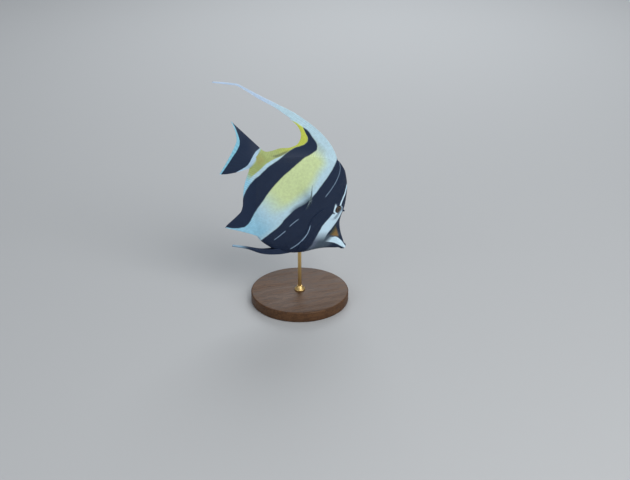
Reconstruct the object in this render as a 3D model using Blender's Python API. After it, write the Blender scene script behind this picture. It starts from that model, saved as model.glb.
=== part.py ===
"""Moorish idol, life size, nose down in mid swim on a plain display stand.

The fish is modelled in its own frame, as shares of its body length: back from the lips, up from the
line of the lips, and right of the mid plane. An empty then tips the whole fish nose down over the stand.
"""

import math

import bmesh
import bpy
from mathutils import Vector

# Driving dimensions, in metres and degrees
BODY_LENGTH = 0.160
NOSE_DOWN = 48.0
LIPS_ABOVE_BASE = 0.045
LIPS_AHEAD_OF_ROD = 0.054
GAP = 0.0003

# Stand
BASE_RADIUS = 0.055
BASE_THICKNESS = 0.012
BASE_BEVEL = 0.0015
BASE_SIDES = 48
ROD_RADIUS = 0.002
ROD_SIDES = 16
ROD_TOP_INSIDE_FISH = 0.012
COLLAR_RADIUS = 0.006
COLLAR_HEIGHT = 0.005
COLLAR_BEVEL = 0.001

# Body outline, as (back, value) pairs in shares of the body length
BACK_LINE = (
    (0.000, 0.004), (0.006, 0.013), (0.016, 0.019), (0.030, 0.019), (0.055, 0.030), (0.095, 0.048),
    (0.140, 0.074), (0.180, 0.106), (0.210, 0.148), (0.240, 0.205), (0.280, 0.258), (0.330, 0.312),
    (0.390, 0.358), (0.450, 0.390), (0.520, 0.402), (0.580, 0.394), (0.660, 0.350), (0.740, 0.288),
    (0.820, 0.215), (0.880, 0.156), (0.930, 0.115), (0.970, 0.099), (1.000, 0.097),
)
BELLY_LINE = (
    (0.000, -0.008), (0.006, -0.020), (0.016, -0.029), (0.030, -0.032), (0.060, -0.056),
    (0.100, -0.088), (0.140, -0.126), (0.175, -0.168), (0.219, -0.226), (0.285, -0.286),
    (0.354, -0.326), (0.434, -0.352), (0.520, -0.362), (0.610, -0.340), (0.700, -0.272),
    (0.800, -0.180), (0.880, -0.099), (0.940, -0.044), (0.975, -0.022), (1.000, -0.016),
)
HALF_WIDTH = (
    (0.000, 0.007), (0.006, 0.014), (0.016, 0.0175), (0.030, 0.0155), (0.060, 0.018), (0.100, 0.024),
    (0.150, 0.034), (0.200, 0.046), (0.260, 0.060), (0.340, 0.074), (0.440, 0.083), (0.540, 0.081),
    (0.660, 0.067), (0.780, 0.049), (0.880, 0.033), (0.950, 0.024), (1.000, 0.014),
)
KEEL_SHARPNESS = 1.15
RINGS = 46
RING_CROWDING = 1.3
RING_SIDES = 36
END_BULGE = 0.003

# Seams between the body's nodes, from above the back to below the belly, as (back, up)
FRONT_END = ((-0.050, 0.6), (-0.050, -0.6))
SNOUT_SEAM = ((0.165, 0.6), (0.165, -0.6))
GILL_SEAM = (
    (0.360, 0.60), (0.360, 0.130), (0.388, 0.070), (0.395, 0.000), (0.375, -0.050), (0.346, -0.100),
    (0.326, -0.150), (0.300, -0.205), (0.265, -0.260), (0.240, -0.60),
)
STALK_SEAM = ((0.890, 0.6), (0.890, -0.6))
REAR_END = ((1.050, 0.6), (1.050, -0.6))
MOUTH_CUT = ((-0.050, 0.001), (0.050, -0.014), (0.078, -0.110), (-0.050, -0.110))
GILL_COVER = (
    (0.302, 0.110), (0.284, 0.030), (0.275, -0.050), (0.272, -0.110), (0.278, -0.170),
    (0.305, -0.235), (0.500, -0.080), (0.440, 0.145),
)
GILL_COVER_INNER_FACE = 0.034
OUTSIDE = 0.3

# Head details, in metres unless they are places on the head
EYE_PLACE = (0.286, 0.163)
EYE_RADIUS = 0.0060
EYE_DEPTH = 0.0036
EYE_PROUD = 0.0012
EYE_SEGMENTS, EYE_RINGS = 22, 12
RIM_RADIUS, RIM_THICKNESS, RIM_SIDES = 0.0064, 0.0008, 6
HORN_PLACE = (0.243, 0.176)
HORN_SINK, HORN_PROFILE = 0.0020, ((0.0000, 0.0017), (0.0027, 0.0013), (0.0045, 0.0004))
HORN_LEAN = (0.9, -0.5, 0.5)
NOSTRILS = ((0.222, 0.112), (0.230, 0.130))
NOSTRIL_RADIUS = 0.0006
DETAIL_SIDES = 10

# Fins: how deep a root sinks before it is trimmed to the body, and how thick rays and webs are
ROOT_SINK = 0.016
FIN_RAYS, FIN_WEBS = (0.0022, 0.0010), (0.0014, 0.0006)
THIN_RAYS, THIN_WEBS = (0.0013, 0.0008), (0.0008, 0.0005)

DORSAL_BASE = (0.500, 0.955)
DORSAL_RIM = (
    (1.035, 0.4215), (1.010, 0.375), (0.954, 0.378), (0.888, 0.362), (0.849, 0.322), (0.841, 0.290),
    (0.863, 0.239), (0.912, 0.190), (0.949, 0.131), (0.978, 0.104),
)
DORSAL_BOWS = ((-0.036, 0.084), (-0.039, 0.056))
DORSAL_BOW_FADE = 2.5
DORSAL_RAYS, DORSAL_ROWS = 20, 8

STREAMER_SEAM = ((1.031, 0.455), (0.987, 0.352))
STREAMER_SEAM_REACH = 0.1
STREAMER_LINE = (
    (0.998, 0.407), (1.072, 0.389), (1.152, 0.370), (1.269, 0.339), (1.387, 0.312), (1.455, 0.294),
    (1.499, 0.262), (1.583, 0.198),
)
STREAMER_HALF_WIDTHS = (
    (0.00, 0.0285), (0.12, 0.0220), (0.25, 0.0165), (0.44, 0.0157), (0.52, 0.0135), (0.63, 0.0085),
    (0.70, 0.0060), (0.85, 0.0050), (1.00, 0.0030),
)
STREAMER_SWAY, STREAMER_SWAY_TURNS = 0.012, 0.8
STREAMER_RAYS, STREAMER_ROWS = 2, 18

ANAL_BASE = (0.530, 0.940)
ANAL_RIM = (
    (0.789, -0.453), (0.792, -0.430), (0.787, -0.360), (0.786, -0.312), (0.805, -0.270),
    (0.839, -0.233), (0.902, -0.163), (0.945, -0.092), (0.964, -0.048),
)
ANAL_BOWS = ((0.000, 0.010), (0.000, 0.002))
ANAL_BOW_FADE = 2.0
ANAL_RAYS, ANAL_ROWS = 16, 7

TAIL_ROOT = ((0.990, 0.098, 0.000), (0.966, -0.016, 0.000))
TAIL_TIPS = ((1.250, 0.091, -0.120), (1.149, -0.181, 0.120))
TAIL_FORK = (1.178, 0.041, 0.030)
TAIL_FORK_POWER = 1.4
TAIL_LOWER_BOW = (0.000, -0.022, 0.000)
TAIL_RAYS, TAIL_ROWS = 14, 7

PECTORAL_ROOT = ((0.462, 0.060), (0.475, -0.012))
PECTORAL_UPPER_RAY = (0.150, 0.112, 0.050)
PECTORAL_LOWER_RAY = (0.115, 0.100, 0.110)
PECTORAL_ROOT_SINK = 0.0020
PECTORAL_TIP_ROUNDING = 0.12
PECTORAL_RAYS, PECTORAL_ROWS = 8, 6

PELVIC_FRONT = ((0.265, -0.250), (0.350, -0.345), (0.457, -0.421), (0.563, -0.460), (0.667, -0.516))
PELVIC_REAR = ((0.335, -0.265), (0.406, -0.339), (0.478, -0.402), (0.571, -0.452), (0.672, -0.509))
PELVIC_ROOT_RIGHT, PELVIC_TIP_RIGHT, PELVIC_TILT = 0.012, 0.036, 0.010
PELVIC_LEFT_LEAD, PELVIC_LEFT_DROP = 0.038, 0.006
PELVIC_RAYS, PELVIC_ROWS = 4, 10

# Colours are linear RGB
BLACK, WHITE, YELLOW = (0.012, 0.012, 0.016), (0.72, 0.78, 0.80), (0.75, 0.66, 0.12)
DUSKY, GLASSY = (0.05, 0.05, 0.06), (0.60, 0.62, 0.60)
EYE_BROWN, BRASS, WALNUT = (0.03, 0.02, 0.015), (0.60, 0.42, 0.16), (0.09, 0.05, 0.03)


def clear_scene():
    """Removes every object, so that only the part is left."""
    for obj in list(bpy.data.objects):
        bpy.data.objects.remove(obj)


def spot(back, up, right=0.0):
    """A place on the fish, given in shares of its body length, as a point in the fish's own frame."""
    return Vector((-back, -right, up)) * BODY_LENGTH


def along(table, place):
    """Value at a place on the smooth curve through a table's pairs, with no overshoot between them."""
    if place <= table[0][0]:
        return table[0][1]
    if place >= table[-1][0]:
        return table[-1][1]
    steps = [(b[0] - a[0], (b[1] - a[1]) / (b[0] - a[0])) for a, b in zip(table, table[1:])]
    index = next(i for i, pair in enumerate(table[1:]) if place <= pair[0])

    def slope(knot):
        if knot in (0, len(table) - 1):
            return steps[min(knot, len(steps) - 1)][1]
        before, after = steps[knot - 1][1], steps[knot][1]
        return 0.0 if before * after <= 0 else 2 * before * after / (before + after)

    width = steps[index][0]
    t = (place - table[index][0]) / width
    start, end = table[index][1], table[index + 1][1]
    leave, arrive = slope(index) * width, slope(index + 1) * width
    return (
        start * (2 * t**3 - 3 * t**2 + 1) + leave * (t**3 - 2 * t**2 + t)
        + end * (3 * t**2 - 2 * t**3) + arrive * (t**3 - t**2)
    )


def path_at(points, share):
    """The (back, up) point at a share of the way along a smooth path through the points."""
    distance, tables = 0.0, ([], [])
    for index, point in enumerate(points):
        if index:
            distance += math.dist(points[index - 1], point)
        for table, value in zip(tables, point):
            table.append((distance, value))
    return tuple(along(table, share * distance) for table in tables)


def material(name, colour, roughness=0.45, metallic=0.0):
    """A plain finish in one colour."""
    finish = bpy.data.materials.new(name)
    finish.use_nodes = True
    shader = finish.node_tree.nodes["Principled BSDF"]
    shader.inputs["Base Color"].default_value = (*colour, 1.0)
    shader.inputs["Roughness"].default_value = roughness
    shader.inputs["Metallic"].default_value = metallic
    return finish


def mesh_object(name, points, faces, parent=None, finish=None):
    """A named object from points and faces, with its faces turned outwards."""
    mesh = bpy.data.meshes.new(name)
    mesh.from_pydata([tuple(point) for point in points], [], faces)
    shape = bmesh.new()
    shape.from_mesh(mesh)
    bmesh.ops.recalc_face_normals(shape, faces=shape.faces)
    shape.to_mesh(mesh)
    shape.free()
    obj = bpy.data.objects.new(name, mesh)
    bpy.context.scene.collection.objects.link(obj)
    obj.parent = parent
    if finish:
        mesh.materials.append(finish)
    return obj


def settle(obj):
    """Applies the object's modifiers and keeps only the largest closed surface of what they leave."""
    graph = bpy.context.evaluated_depsgraph_get()
    graph.update()
    mesh = bpy.data.meshes.new_from_object(obj.evaluated_get(graph))
    obj.modifiers.clear()
    obj.data = mesh
    shape = bmesh.new()
    shape.from_mesh(mesh)
    shape.faces.ensure_lookup_table()
    groups, seen = [], set()
    for face in shape.faces:
        if face in seen:
            continue
        group, queue = [], [face]
        seen.add(face)
        while queue:
            current = queue.pop()
            group.append(current)
            for edge in current.edges:
                for other in edge.link_faces:
                    if other not in seen:
                        seen.add(other)
                        queue.append(other)
        groups.append(group)
    largest = max(groups, key=lambda group: sum(face.calc_area() for face in group))
    scraps = [face for group in groups if group is not largest for face in group]
    bmesh.ops.delete(shape, geom=scraps, context="FACES")
    shape.to_mesh(mesh)
    shape.free()


def combine(obj, tool, operation, solver="EXACT"):
    """Cuts the tool from the object, or keeps what they share, and leaves the tool in place."""
    boolean = obj.modifiers.new("cut", "BOOLEAN")
    boolean.solver = solver
    boolean.operation = operation
    boolean.object = tool
    settle(obj)


def fuse(obj, pieces):
    """Joins closed pieces to the object in one union, and removes them."""
    gathered = bpy.data.collections.new("pieces")
    bpy.context.scene.collection.children.link(gathered)
    for piece in pieces:
        bpy.context.scene.collection.objects.unlink(piece)
        gathered.objects.link(piece)
    boolean = obj.modifiers.new("union", "BOOLEAN")
    boolean.solver = "EXACT"
    boolean.operation = "UNION"
    boolean.operand_type = "COLLECTION"
    boolean.collection = gathered
    settle(obj)
    for piece in pieces:
        bpy.data.objects.remove(piece)
    bpy.data.collections.remove(gathered)


def remove(*objects):
    """Deletes helper objects."""
    for obj in objects:
        bpy.data.objects.remove(obj)


def flank(back, turn):
    """Point of the body's skin, going round its section by an angle that starts at the right flank."""
    top, bottom = along(BACK_LINE, back), along(BELLY_LINE, back)
    across, rise = math.cos(turn), math.sin(turn)
    right = along(HALF_WIDTH, back) * math.copysign(abs(across) ** KEEL_SHARPNESS, across)
    return spot(back, (top + bottom) / 2 + (top - bottom) / 2 * rise, right)


def flank_at(back, up):
    """The skin's point at a place on the right flank, and the direction that faces out of it."""

    def skin(back, up):
        top, bottom = along(BACK_LINE, back), along(BELLY_LINE, back)
        return flank(back, math.asin((2 * up - top - bottom) / (top - bottom)))

    step = 0.002
    lengthwise = skin(back + step, up) - skin(back - step, up)
    upwards = skin(back, up + step) - skin(back, up - step)
    return skin(back, up), lengthwise.cross(upwards).normalized()


def mirrored(vector):
    """The same point or direction on the left side."""
    return Vector((vector.x, -vector.y, vector.z))


def body(name, parent, swell=0.0):
    """The whole body as one closed surface, ring by ring; swell moves its skin outwards."""
    points, faces = [], []
    for ring in range(RINGS + 1):
        back = (ring / RINGS) ** RING_CROWDING
        points += [flank(back, 2 * math.pi * side / RING_SIDES) for side in range(RING_SIDES)]
    for ring in range(RINGS):
        for side in range(RING_SIDES):
            following = (side + 1) % RING_SIDES
            near, far = ring * RING_SIDES, (ring + 1) * RING_SIDES
            faces.append((near + side, near + following, far + following, far + side))
    for ring, back in ((0, -END_BULGE), (RINGS, 1.0 + END_BULGE)):
        middle = (along(BACK_LINE, back) + along(BELLY_LINE, back)) / 2
        points.append(spot(back, middle))
        start, pole = ring * RING_SIDES, len(points) - 1
        faces += [(start + side, start + (side + 1) % RING_SIDES, pole) for side in range(RING_SIDES)]
    obj = mesh_object(name, points, faces, parent)
    if swell:
        shape = bmesh.new()
        shape.from_mesh(obj.data)
        shape.normal_update()
        moves = [vert.normal * swell for vert in shape.verts]
        for vert, move in zip(shape.verts, moves):
            vert.co += move
        shape.to_mesh(obj.data)
        shape.free()
    return obj


def prism(name, parent, outline, low, high):
    """A block with an outline of (back, up) points, from one distance right of the mid plane to another."""
    count = len(outline)
    points = [spot(back, up, right) for right in (low, high) for back, up in outline]
    faces = [tuple(range(count)), tuple(range(2 * count - 1, count - 1, -1))]
    faces += [(i, (i + 1) % count, count + (i + 1) % count, count + i) for i in range(count)]
    return mesh_object(name, points, faces, parent)


def grown(outline, amount):
    """The outline with each side moved outwards by an amount in metres."""
    area = sum(a[0] * b[1] - b[0] * a[1] for a, b in zip(outline, outline[1:] + outline[:1]))
    shift = amount / BODY_LENGTH * math.copysign(1, area)
    lines = []
    for (x0, y0), (x1, y1) in zip(outline, outline[1:] + outline[:1]):
        length = math.hypot(x1 - x0, y1 - y0)
        normal = ((y1 - y0) / length, (x0 - x1) / length)
        lines.append((normal, normal[0] * x0 + normal[1] * y0 + shift))
    corners = []
    for (first, reach), (second, far) in zip(lines[-1:] + lines[:-1], lines):
        cross = first[0] * second[1] - first[1] * second[0]
        corners.append(
            ((reach * second[1] - far * first[1]) / cross, (first[0] * far - second[0] * reach) / cross)
        )
    return tuple(corners)


def slice_between(name, parent, front, rear):
    """The block of space between two seams, each half a gap short of its line."""
    half = GAP / 2 / BODY_LENGTH
    outline = [(back + half, up) for back, up in front]
    outline += [(back - half, up) for back, up in reversed(rear)]
    return prism(name, parent, outline, -OUTSIDE, OUTSIDE)


def body_part(name, whole, front, rear, finish):
    """One node of the body: what lies between two seams."""
    points = [vert.co for vert in whole.data.vertices]
    faces = [tuple(face.vertices) for face in whole.data.polygons]
    obj = mesh_object(name, points, faces, whole.parent, finish)
    block = slice_between("block", whole.parent, front, rear)
    combine(obj, block, "INTERSECT")
    remove(block)
    return obj


def lathe(name, rings, axis, centre, sides, parent=None, finish=None):
    """A closed turned shape: rings of (distance along the axis, radius), or a pole where the radius is 0."""
    turn = Vector((0, 0, 1)).rotation_difference(axis)
    points, starts = [], []
    for height, radius in rings:
        starts.append((len(points), radius == 0))
        count = 1 if radius == 0 else sides
        for side in range(count):
            angle = 2 * math.pi * side / sides
            offset = Vector((radius * math.cos(angle), radius * math.sin(angle), height))
            points.append(centre + turn @ offset)
    faces = []
    for (low, low_pole), (high, high_pole) in zip(starts, starts[1:]):
        for side in range(sides):
            following = (side + 1) % sides
            if low_pole:
                faces.append((low, high + side, high + following))
            elif high_pole:
                faces.append((low + side, low + following, high))
            else:
                faces.append((low + side, low + following, high + following, high + side))
    for start, pole in (starts[0], starts[-1]):
        if not pole:
            faces.append(tuple(start + side for side in range(sides)))
    return mesh_object(name, points, faces, parent, finish)


def eyeball(name, side, swell, parent, finish=None):
    """A flattened ball set in the head; swell makes the socket's cutter."""
    place, out = flank_at(*EYE_PLACE)
    centre = place - out * (EYE_DEPTH - EYE_PROUD)
    if side == "left":
        centre, out = mirrored(centre), mirrored(out)
    rings = []
    for ring in range(EYE_RINGS + 1):
        angle = math.pi * ring / EYE_RINGS
        radius = 0 if ring in (0, EYE_RINGS) else (EYE_RADIUS + swell) * math.sin(angle)
        rings.append((-(EYE_DEPTH + swell) * math.cos(angle), radius))
    return lathe(name, rings, out, centre, EYE_SEGMENTS, parent, finish)


def eye_rim(side, parent):
    """The raised ring of skin round an eye."""
    place, out = flank_at(*EYE_PLACE)
    if side == "left":
        place, out = mirrored(place), mirrored(out)
    turn = Vector((0, 0, 1)).rotation_difference(out)
    points, faces = [], []
    for segment in range(EYE_SEGMENTS):
        angle = 2 * math.pi * segment / EYE_SEGMENTS
        for step in range(RIM_SIDES):
            bend = 2 * math.pi * step / RIM_SIDES
            reach = RIM_RADIUS + RIM_THICKNESS * math.cos(bend)
            rise = RIM_THICKNESS * math.sin(bend)
            points.append(place + turn @ Vector((reach * math.cos(angle), reach * math.sin(angle), rise)))
            near, far = segment * RIM_SIDES, (segment + 1) % EYE_SEGMENTS * RIM_SIDES
            after = (step + 1) % RIM_SIDES
            faces.append((near + step, near + after, far + after, far + step))
    return mesh_object("rim", points, faces, parent)


def brow_horn(side, parent):
    """The blunt little horn that an adult has in front of each eye."""
    place, out = flank_at(*HORN_PLACE)
    lean = Vector(HORN_LEAN).normalized()
    start = place - out * HORN_SINK
    if side == "left":
        start, lean = mirrored(start), mirrored(lean)
    return lathe("horn", HORN_PROFILE, lean, start, DETAIL_SIDES, parent)


def nostril(place, side, parent):
    """A cutter for one small round nostril."""
    point, out = flank_at(*place)
    if side == "left":
        point, out = mirrored(point), mirrored(out)
    depth = 2 * NOSTRIL_RADIUS
    rings = ((-depth, NOSTRIL_RADIUS), (depth, NOSTRIL_RADIUS))
    return lathe("nostril", rings, out, point, DETAIL_SIDES, parent)


def ribbed_fin(name, shape, rays, rows, parent, finish, ray_stock=FIN_RAYS, web_stock=FIN_WEBS):
    """A fin whose rays stand out as ridges on its membrane.

    The shape gives a point of the fin's middle surface from a share across its rays and a share
    along them. Both faces are split alike, so a twisted fin keeps its thickness.
    """
    columns = 2 * rays + 1
    step = 1e-3

    def facing(across, out):
        wide = shape(min(across + step, 1), out) - shape(max(across - step, 0), out)
        long = shape(across, min(out + step, 1)) - shape(across, max(out - step, 0))
        return wide.cross(long).normalized()

    points = []
    for column in range(columns):
        across = column / (columns - 1)
        thick_root, thick_tip = ray_stock if column % 2 == 0 else web_stock
        for row in range(rows + 1):
            out = row / rows
            half = (thick_root + (thick_tip - thick_root) * math.sqrt(out)) / 2
            middle, normal = shape(across, out), facing(across, out)
            points += [middle + normal * half, middle - normal * half]

    def corner(column, row, face):
        return 2 * (column * (rows + 1) + row) + face

    faces = []
    for column in range(columns - 1):
        for row in range(rows):
            for face in (0, 1):
                a, b = corner(column, row, face), corner(column + 1, row, face)
                c, d = corner(column + 1, row + 1, face), corner(column, row + 1, face)
                halves = ((a, b, c), (a, c, d)) if column % 2 == 0 else ((a, b, d), (b, c, d))
                faces += halves if face else [tuple(reversed(half)) for half in halves]
    rim = [(column, 0) for column in range(columns)]
    rim += [(columns - 1, row) for row in range(1, rows + 1)]
    rim += [(column, rows) for column in range(columns - 2, -1, -1)]
    rim += [(0, row) for row in range(rows - 1, 0, -1)]
    for here, there in zip(rim, rim[1:] + rim[:1]):
        a, b = corner(*here, 0), corner(*there, 0)
        faces += [(a, b, b + 1), (a, b + 1, a + 1)]
    return mesh_object(name, points, faces, parent, finish)


def bezier(start, first, second, end, t):
    """Point of a cubic curve in side view."""
    weights = ((1 - t) ** 3, 3 * t * (1 - t) ** 2, 3 * t**2 * (1 - t), t**3)
    return tuple(sum(w * p[i] for w, p in zip(weights, (start, first, second, end))) for i in (0, 1))


def median_ray(line, sink, base, rim, bows, fade, place):
    """Point of the back or belly fin, whose rays are bowed most at its front; place is (across, out)."""
    across, out = place
    back = base[0] + (base[1] - base[0]) * across
    start, end = (back, along(line, back) + sink), path_at(rim, across)
    handles = []
    for share, bow in zip((1 / 3, 2 / 3), bows):
        bent = (1 - across) ** fade
        handles.append(tuple(a + (b - a) * share + c * bent for a, b, c in zip(start, end, bow)))
    return spot(*bezier(start, handles[0], handles[1], end, out))


def dorsal_point(across, out):
    """Point of the back fin, from its long front spine to the last ray at the tail."""
    place = (across, out)
    return median_ray(BACK_LINE, -ROOT_SINK, DORSAL_BASE, DORSAL_RIM, DORSAL_BOWS, DORSAL_BOW_FADE, place)


def anal_point(across, out):
    """Point of the belly fin."""
    return median_ray(BELLY_LINE, ROOT_SINK, ANAL_BASE, ANAL_RIM, ANAL_BOWS, ANAL_BOW_FADE, (across, out))


def streamer_point(across, out):
    """Point of the trailing filament, which narrows from the tip of the back fin and sways a little."""
    back, up = path_at(STREAMER_LINE, out)
    step = 0.01
    ahead, behind = path_at(STREAMER_LINE, min(out + step, 1)), path_at(STREAMER_LINE, max(out - step, 0))
    length = math.dist(ahead, behind)
    normal = (-(ahead[1] - behind[1]) / length, (ahead[0] - behind[0]) / length)
    offset = along(STREAMER_HALF_WIDTHS, out) * (1 - 2 * across)
    sway = STREAMER_SWAY * out**2 * math.sin(2 * math.pi * STREAMER_SWAY_TURNS * out)
    return spot(back + normal[0] * offset, up + normal[1] * offset, sway)


def tail_point(across, out):
    """Point of the tail fin, whose two lobes swing apart sideways while its fork follows the body."""
    lobe = 1 - 2 * across
    upper, lower = (Vector(tip) for tip in TAIL_TIPS)
    fork, middle = Vector(TAIL_FORK), (upper + lower) / 2
    end = fork + (upper - lower) / 2 * lobe + (middle - fork) * abs(lobe) ** TAIL_FORK_POWER
    root = Vector(TAIL_ROOT[0]).lerp(Vector(TAIL_ROOT[1]), across)
    bow = Vector(TAIL_LOWER_BOW) * across * 4 * out * (1 - out)
    return spot(*(root.lerp(end, out) + bow))


def pectoral_point(across, out):
    """Point of the right side fin, which fans up and out from behind the gill cover."""
    root = tuple(a + (b - a) * across for a, b in zip(*PECTORAL_ROOT))
    skin, facing = flank_at(*root)
    ray = [a + (b - a) * across for a, b in zip(PECTORAL_UPPER_RAY, PECTORAL_LOWER_RAY)]
    reach = spot(*ray) * (1 + PECTORAL_TIP_ROUNDING * math.sin(math.pi * across))
    start = skin - facing * PECTORAL_ROOT_SINK
    return start + (reach + facing * PECTORAL_ROOT_SINK) * out


def pelvic_point(across, out):
    """Point of the right belly fin, which trails back under the chest."""
    front, rear = path_at(PELVIC_FRONT, out), path_at(PELVIC_REAR, out)
    back, up = (a + (b - a) * across for a, b in zip(front, rear))
    right = PELVIC_ROOT_RIGHT + (PELVIC_TIP_RIGHT - PELVIC_ROOT_RIGHT) * out + PELVIC_TILT * (across - 0.5)
    return spot(back, up, right)


def left_pelvic_point(across, out):
    """Point of the left belly fin, which is swept back a little less than the right one."""
    return mirrored(pelvic_point(across, out)) - spot(PELVIC_LEFT_LEAD * out, PELVIC_LEFT_DROP * out)


def left_pectoral_point(across, out):
    """Point of the left side fin."""
    return mirrored(pectoral_point(across, out))


def build_body(fish, finishes):
    """The body's flesh as snout, jaw, head, gill covers, trunk and tail stalk."""
    whole = body("whole", fish)
    snout = body_part("snout", whole, FRONT_END, SNOUT_SEAM, finishes["white"])
    jaw = body_part("lower_jaw", whole, FRONT_END, SNOUT_SEAM, finishes["black"])
    jaw_block = prism("jaw block", fish, MOUTH_CUT, -OUTSIDE, OUTSIDE)
    jaw_room = prism("jaw room", fish, grown(MOUTH_CUT, GAP), -OUTSIDE, OUTSIDE)
    combine(jaw, jaw_block, "INTERSECT")
    combine(snout, jaw_room, "DIFFERENCE")
    head = body_part("head", whole, SNOUT_SEAM, GILL_SEAM, finishes["black"])
    inner = GILL_COVER_INNER_FACE
    for side, low, high in (("right", inner, OUTSIDE), ("left", -OUTSIDE, -inner)):
        cover = body_part(f"gill_cover_{side}", whole, SNOUT_SEAM, GILL_SEAM, finishes["black"])
        block = prism("cover block", fish, GILL_COVER, low, high)
        room_low, room_high = (low - GAP / BODY_LENGTH, high) if low > 0 else (low, high + GAP / BODY_LENGTH)
        room = prism("cover room", fish, grown(GILL_COVER, GAP), room_low, room_high)
        combine(cover, block, "INTERSECT")
        combine(head, room, "DIFFERENCE")
        remove(block, room)
    body_part("trunk", whole, GILL_SEAM, STALK_SEAM, finishes["white"])
    body_part("tail_stalk", whole, STALK_SEAM, REAR_END, finishes["yellow"])
    remove(whole, jaw_block, jaw_room)
    return head


def build_head_details(fish, head, finishes):
    """Eye rims, horns and nostrils on the head, and the eyes in their sockets."""
    sides = ("right", "left")
    fuse(head, [eye_rim(side, fish) for side in sides] + [brow_horn(side, fish) for side in sides])
    for side in sides:
        cutters = [eyeball("socket", side, GAP, fish)] + [nostril(place, side, fish) for place in NOSTRILS]
        for cutter in cutters:
            combine(head, cutter, "DIFFERENCE")
        remove(*cutters)
        eyeball(f"eye_{side}", side, 0.0, fish, finishes["eye"])


def build_fins(fish, finishes):
    """All the fins, each trimmed where it meets the body."""
    skin = body("skin", fish, GAP)
    dusky = finishes["dusky"]
    fins = [
        ribbed_fin("dorsal_fin", dorsal_point, DORSAL_RAYS, DORSAL_ROWS, fish, finishes["white"]),
        ribbed_fin("anal_fin", anal_point, ANAL_RAYS, ANAL_ROWS, fish, finishes["black"]),
        ribbed_fin("tail_fin", tail_point, TAIL_RAYS, TAIL_ROWS, fish, finishes["black"]),
    ]
    for side, pectoral, pelvic in (("right", pectoral_point, pelvic_point),
                                   ("left", left_pectoral_point, left_pelvic_point)):
        fins.append(ribbed_fin(f"pectoral_fin_{side}", pectoral, PECTORAL_RAYS, PECTORAL_ROWS,
                               fish, finishes["glassy"], THIN_RAYS, THIN_WEBS))
        fins.append(ribbed_fin(f"pelvic_fin_{side}", pelvic, PELVIC_RAYS, PELVIC_ROWS, fish, dusky))
    for fin in fins:
        combine(fin, skin, "DIFFERENCE")
    streamer = ribbed_fin("dorsal_streamer", streamer_point, STREAMER_RAYS, STREAMER_ROWS, fish,
                          finishes["white"], THIN_RAYS, THIN_WEBS)
    half = GAP / 2 / BODY_LENGTH
    for fin, reach in ((fins[0], 1), (streamer, -1)):
        near = [(back - reach * half, up) for back, up in STREAMER_SEAM]
        far = [(back + reach * STREAMER_SEAM_REACH, up) for back, up in reversed(STREAMER_SEAM)]
        block = prism("seam block", fish, near + far, -OUTSIDE, OUTSIDE)
        combine(fin, block, "DIFFERENCE", "MANIFOLD")
        remove(block)
    return skin


def turned_disc(name, radius, height, bevel, bottom, sides, finish):
    """A round plate with its upper and lower edges eased."""
    rings = ((0, radius - bevel), (bevel, radius), (height - bevel, radius), (height, radius - bevel))
    return lathe(name, rings, Vector((0, 0, 1)), Vector((0, 0, bottom)), sides, None, finish)


def build_stand(skin, finishes):
    """A round foot with one upright rod, whose top is shaped to the fish's throat."""
    turned_disc("stand_base", BASE_RADIUS, BASE_THICKNESS, BASE_BEVEL, 0.0, BASE_SIDES, finishes["walnut"])
    collar_bottom = BASE_THICKNESS + GAP
    turned_disc("stand_collar", COLLAR_RADIUS, COLLAR_HEIGHT, COLLAR_BEVEL, collar_bottom,
                ROD_SIDES, finishes["brass"])
    rod_top = BASE_THICKNESS + LIPS_ABOVE_BASE + ROD_TOP_INSIDE_FISH
    rod_bottom = collar_bottom + COLLAR_HEIGHT + GAP
    rod = lathe("stand_rod", ((0, ROD_RADIUS), (rod_top - rod_bottom, ROD_RADIUS)), Vector((0, 0, 1)),
                Vector((0, 0, rod_bottom)), ROD_SIDES, None, finishes["brass"])
    combine(rod, skin, "DIFFERENCE")


def main():
    """Builds the fish in its own frame, tips it nose down, and stands it on its rod."""
    clear_scene()
    finishes = {
        "black": material("black skin", BLACK),
        "white": material("white skin", WHITE),
        "yellow": material("yellow skin", YELLOW),
        "dusky": material("dusky fin", DUSKY),
        "glassy": material("glassy fin", GLASSY, 0.25),
        "eye": material("eye", EYE_BROWN, 0.08),
        "brass": material("brass", BRASS, 0.25, 1.0),
        "walnut": material("walnut", WALNUT, 0.4),
    }
    fish = bpy.data.objects.new("fish", None)
    bpy.context.scene.collection.objects.link(fish)
    fish.location = (LIPS_AHEAD_OF_ROD, 0, BASE_THICKNESS + LIPS_ABOVE_BASE)
    fish.rotation_euler = (0, math.radians(NOSE_DOWN), 0)
    bpy.context.view_layer.update()
    head = build_body(fish, finishes)
    build_head_details(fish, head, finishes)
    skin = build_fins(fish, finishes)
    build_stand(skin, finishes)
    remove(skin)


main()
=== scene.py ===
"""Looks of a life-size moorish idol on its display stand: skin, scales, fins, eyes, walnut and brass."""

import logging
import math
from dataclasses import dataclass, field
from enum import Enum
from typing import Callable, Sequence

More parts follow.
